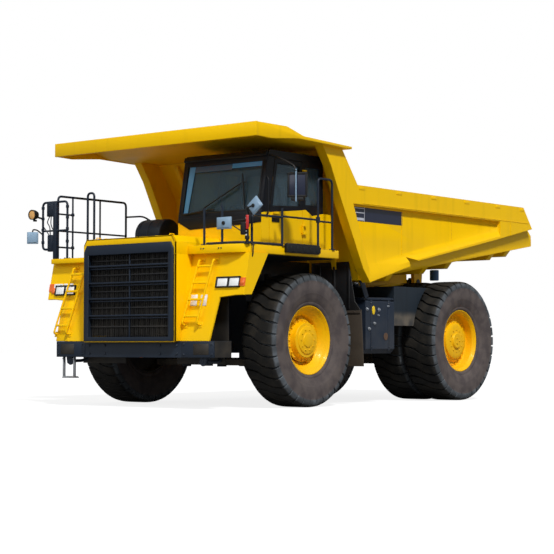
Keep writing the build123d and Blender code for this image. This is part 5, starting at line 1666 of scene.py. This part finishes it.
# %% band and stripes
shape = new_shape()
for side in (-1, 1):
    add_prism(shape, [(1.20, 3.062), (2.62, 3.062), (2.62, 3.298), (1.13, 3.298)], side * recess_face,
              side * (recess_face + 0.0025), from_side, 0.0)
place_piece("navy_band", shape, "decal_navy", "dump_body")
shape = new_shape()
for side in (-1, 1):
    depths = side * recess_face, side * (recess_face + 0.0028)
    for low, high in ((3.075, 3.120), (3.195, 3.212), (3.272, 3.288)):
        front_low, front_high = (1.190 + (3.30 - height) * 0.30 for height in (low, high))
        add_prism(shape, [(front_low, low), (1.478, low), (1.478, high), (front_high, high)], *depths, from_side, 0.0)
    add_prism(shape, rectangle(1.482, 1.496, 3.062, 3.298), *depths, from_side, 0.0)
place_piece("pale_stripes", shape, "decal_light", "dump_body")
shape = new_shape()
for side in (-1, 1):
    for station in (1.30, 2.40, 3.50, 4.60, 5.70, 6.60):
        add_block(shape, (side * body_outer, at(station), 3.600), (0.012, 0.16, 0.05))
place_piece("body_fittings", shape, "body_yellow", "dump_body")
print("band and stripes dressed")

# %% [markdown]
# ## Canopy
# The canopy over the cab is a shallow tray turned upside down. Its front half is deep and
# level, then the edge steps down to a thin plate that runs back to the headboard. Four
# plates make it, so the underside stays hollow as on the real one.

# %% canopy plates
shape = new_shape()
canopy_low, canopy_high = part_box("body_canopy")
half = canopy_high.x
top_line = [(-1.585, 4.395), (-0.840, 4.397), (-0.410, 4.287), (0.876, 4.246)]
edge_line = [(0.876, 4.206), (-0.550, 4.234), (-1.220, 4.170), (-1.585, 4.180)]
for side in (-1, 1):
    add_prism(shape, top_line + edge_line, side * (half - 0.003), side * (half - 0.040), from_side, 0.006)
under_line = [(station, height - 0.040) for station, height in reversed(top_line)]
add_prism(shape, top_line + under_line, 0.030 - half, half - 0.030, from_side, 0.004)
add_prism(shape, rectangle(-1.602, -1.562, 4.3985, 4.176), -half, half, from_side, 0.006)
canopy = place_piece("canopy_plates", shape, "body_yellow", "dump_body")
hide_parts("body_canopy")
print("canopy", round(canopy_low.x, 3), round(canopy_high.x, 3), "top", round(canopy_high.z, 3))

# %% [markdown]
# ## Wheel arches and mud flaps
# Behind each front wheel hangs a heavy rubber flap, brown with road dust, under a near-black
# splash plate that closes the arch. Ahead of the wheel a second plate closes the gap to
# the bumper. These plates, and sheets along the engine and under the deck, are painted
# shade: they stand for the dark inside the arches.

# %% arches and flaps
shape, flaps = new_shape(), new_shape()
# painted shade: near-black plates behind and ahead of each front wheel darken the arch
for side in (-1, 1):
    add_prism(shape, [(side * 1.02, 1.560), (side * 2.055, 1.560), (side * 1.93, 1.72), (side * 1.80, 2.390),
                      (side * 1.02, 2.390)], 1.330, 1.345, from_front, 0.003)
    for x in (1.20, 1.50, 1.80):
        span(shape, (side * (x - 0.02), 1.318, 1.60), (side * (x + 0.02), 1.332, 2.34), 0.003)
    span(shape, (side * 0.760, -1.600, 1.040), (side * 1.660, -1.590, 1.800), 0.002)
    span(shape, (side * 0.560, -1.560, 0.700), (side * 1.540, -1.550, 1.050), 0.002)
    add_prism(flaps, [(side * 1.300, 0.640), (side * 2.100, 0.640), (side * 2.055, 1.585), (side * 1.300, 1.585)],
              1.335, 1.352, from_front, 0.005)
    for x in (1.38, 1.56, 1.74, 1.92):
        add_bolt(flaps, (side * x, at(1.335), 1.545), (0, -1, 0), 0.030, 0.014)
    span(flaps, (side * 1.320, 1.324, 1.520), (side * 2.040, 1.337, 1.570), 0.004)
# painted shade: near-black sheets along the engine's sides and under the deck stand for the shade there
for side in (-1, 1):
    span(shape, (side * 0.994, -1.55, 1.900), (side * 1.000, 1.300, 2.392), 0.001)
    low, high = (2.340, 2.346) if side < 0 else (2.386, 2.392)
    span(shape, (side * 1.000, -1.30, low), (side * 2.040, 0.600, high), 0.001)
place_piece("arch_shade_plates", shape, "screen_and_shade_black")
place_piece("mud_flaps", flaps, "flap_rubber")
print("arches closed")

# %% [markdown]
# ## Tanks and chassis fittings
# The left tank carries a yellow sight gauge, a few grey fittings and two straps. Hoses run
# along the frame, a blue filter hangs behind, and a gusset braces the body's hinge.

# %% tank fittings
shape = new_shape()
tank_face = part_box("tanks")[1].x
add_turned(shape, [(0.0, 0.0), (0.0, 0.070), (0.008, 0.072), (0.012, 0.060), (0.012, 0.0)],
           (tank_face, at(1.906), 1.585), (1, 0, 0), 28)
bmesh.ops.scale(shape, vec=(1.0, 0.62, 1.05), verts=shape.verts,
                space=Matrix.Translation((-tank_face, -at(1.906), -1.585)))
place_piece("sight_gauge", shape, "gauge_yellow")
shape = new_shape()
for station, height, size in ((1.72, 1.60, 0.030), (2.065, 1.596, 0.034), (1.934, 1.361, 0.028), (1.78, 1.27, 0.032),
                              (2.05, 1.50, 0.018), (2.34, 1.66, 0.018)):
    add_turned(shape, [(0, 0), (0, size), (0.010, size), (0.014, size * 0.6), (0.030, size * 0.6), (0.034, 0)],
               (tank_face - 0.001, at(station), height), (1, 0, 0), 20)
place_piece("tank_caps", shape, "step_steel")
shape = new_shape()
for station in (1.84, 2.36):
    span(shape, (tank_face - 0.001, station - 0.022, 0.90), (tank_face + 0.006, station + 0.022, 1.76), 0.003)
    for height in (1.70, 0.96):
        add_bolt(shape, (tank_face + 0.006, at(station), height), (1, 0, 0), 0.024, 0.012)
add_prism(shape, [(1.360, 2.300), (1.500, 2.300), (1.740, 1.820), (1.640, 1.780)], 1.900, 1.925, from_side, 0.004)
add_prism(shape, rectangle(1.640, 2.520, 1.760, 1.800), 1.560, tank_face - 0.002, from_side, 0.006)
for station in (1.70, 2.12, 2.48):
    add_bolt(shape, (tank_face - 0.002, at(station), 1.780), (1, 0, 0), 0.022, 0.012)
place_piece("tank_straps", shape, "tank_navy")
shape = new_shape()
add_turned(shape, [(0, 0), (0, 0.060), (0.006, 0.064), (0.008, 0.0)], (tank_face - 0.001, at(2.27), 1.14), (1, 0, 0),
           24)
place_piece("tank_patch", shape, "rusty_pipe")
print("tank dressed, face at", round(tank_face, 3))

# %% hoses, filter and gusset
shape = new_shape()
for index, (x, z) in enumerate(((0.70, 1.20), (0.74, 1.26), (-0.70, 1.20), (-0.74, 1.27), (0.66, 1.50))):
    add_run(shape, [(x, 1.5, z), (x * 1.03, 2.0, z - 0.03), (x, 2.6, z + 0.10), (x * 0.92, 3.4, z + 0.20)], 0.016,
            0.20, 10)
place_piece("frame_hoses", shape, "trim_rubber")
shape = new_shape()
add_turned(shape, [(0.0, 0.0), (0.0, 0.075), (0.010, 0.086), (0.190, 0.086), (0.200, 0.075), (0.200, 0.0)],
           (0.98, at(5.23), 2.220), (0, 0, 1), 28)
place_piece("blue_filter", shape, "filter_blue")
shape = new_shape()
add_prism(shape, [(3.05, 2.05), (3.43, 2.10), (3.91, 2.10), (3.20, 2.02)], 1.180, 1.200, from_side, 0.003)
place_piece("hinge_gusset", shape, "yellow_paint")
print("chassis dressed")
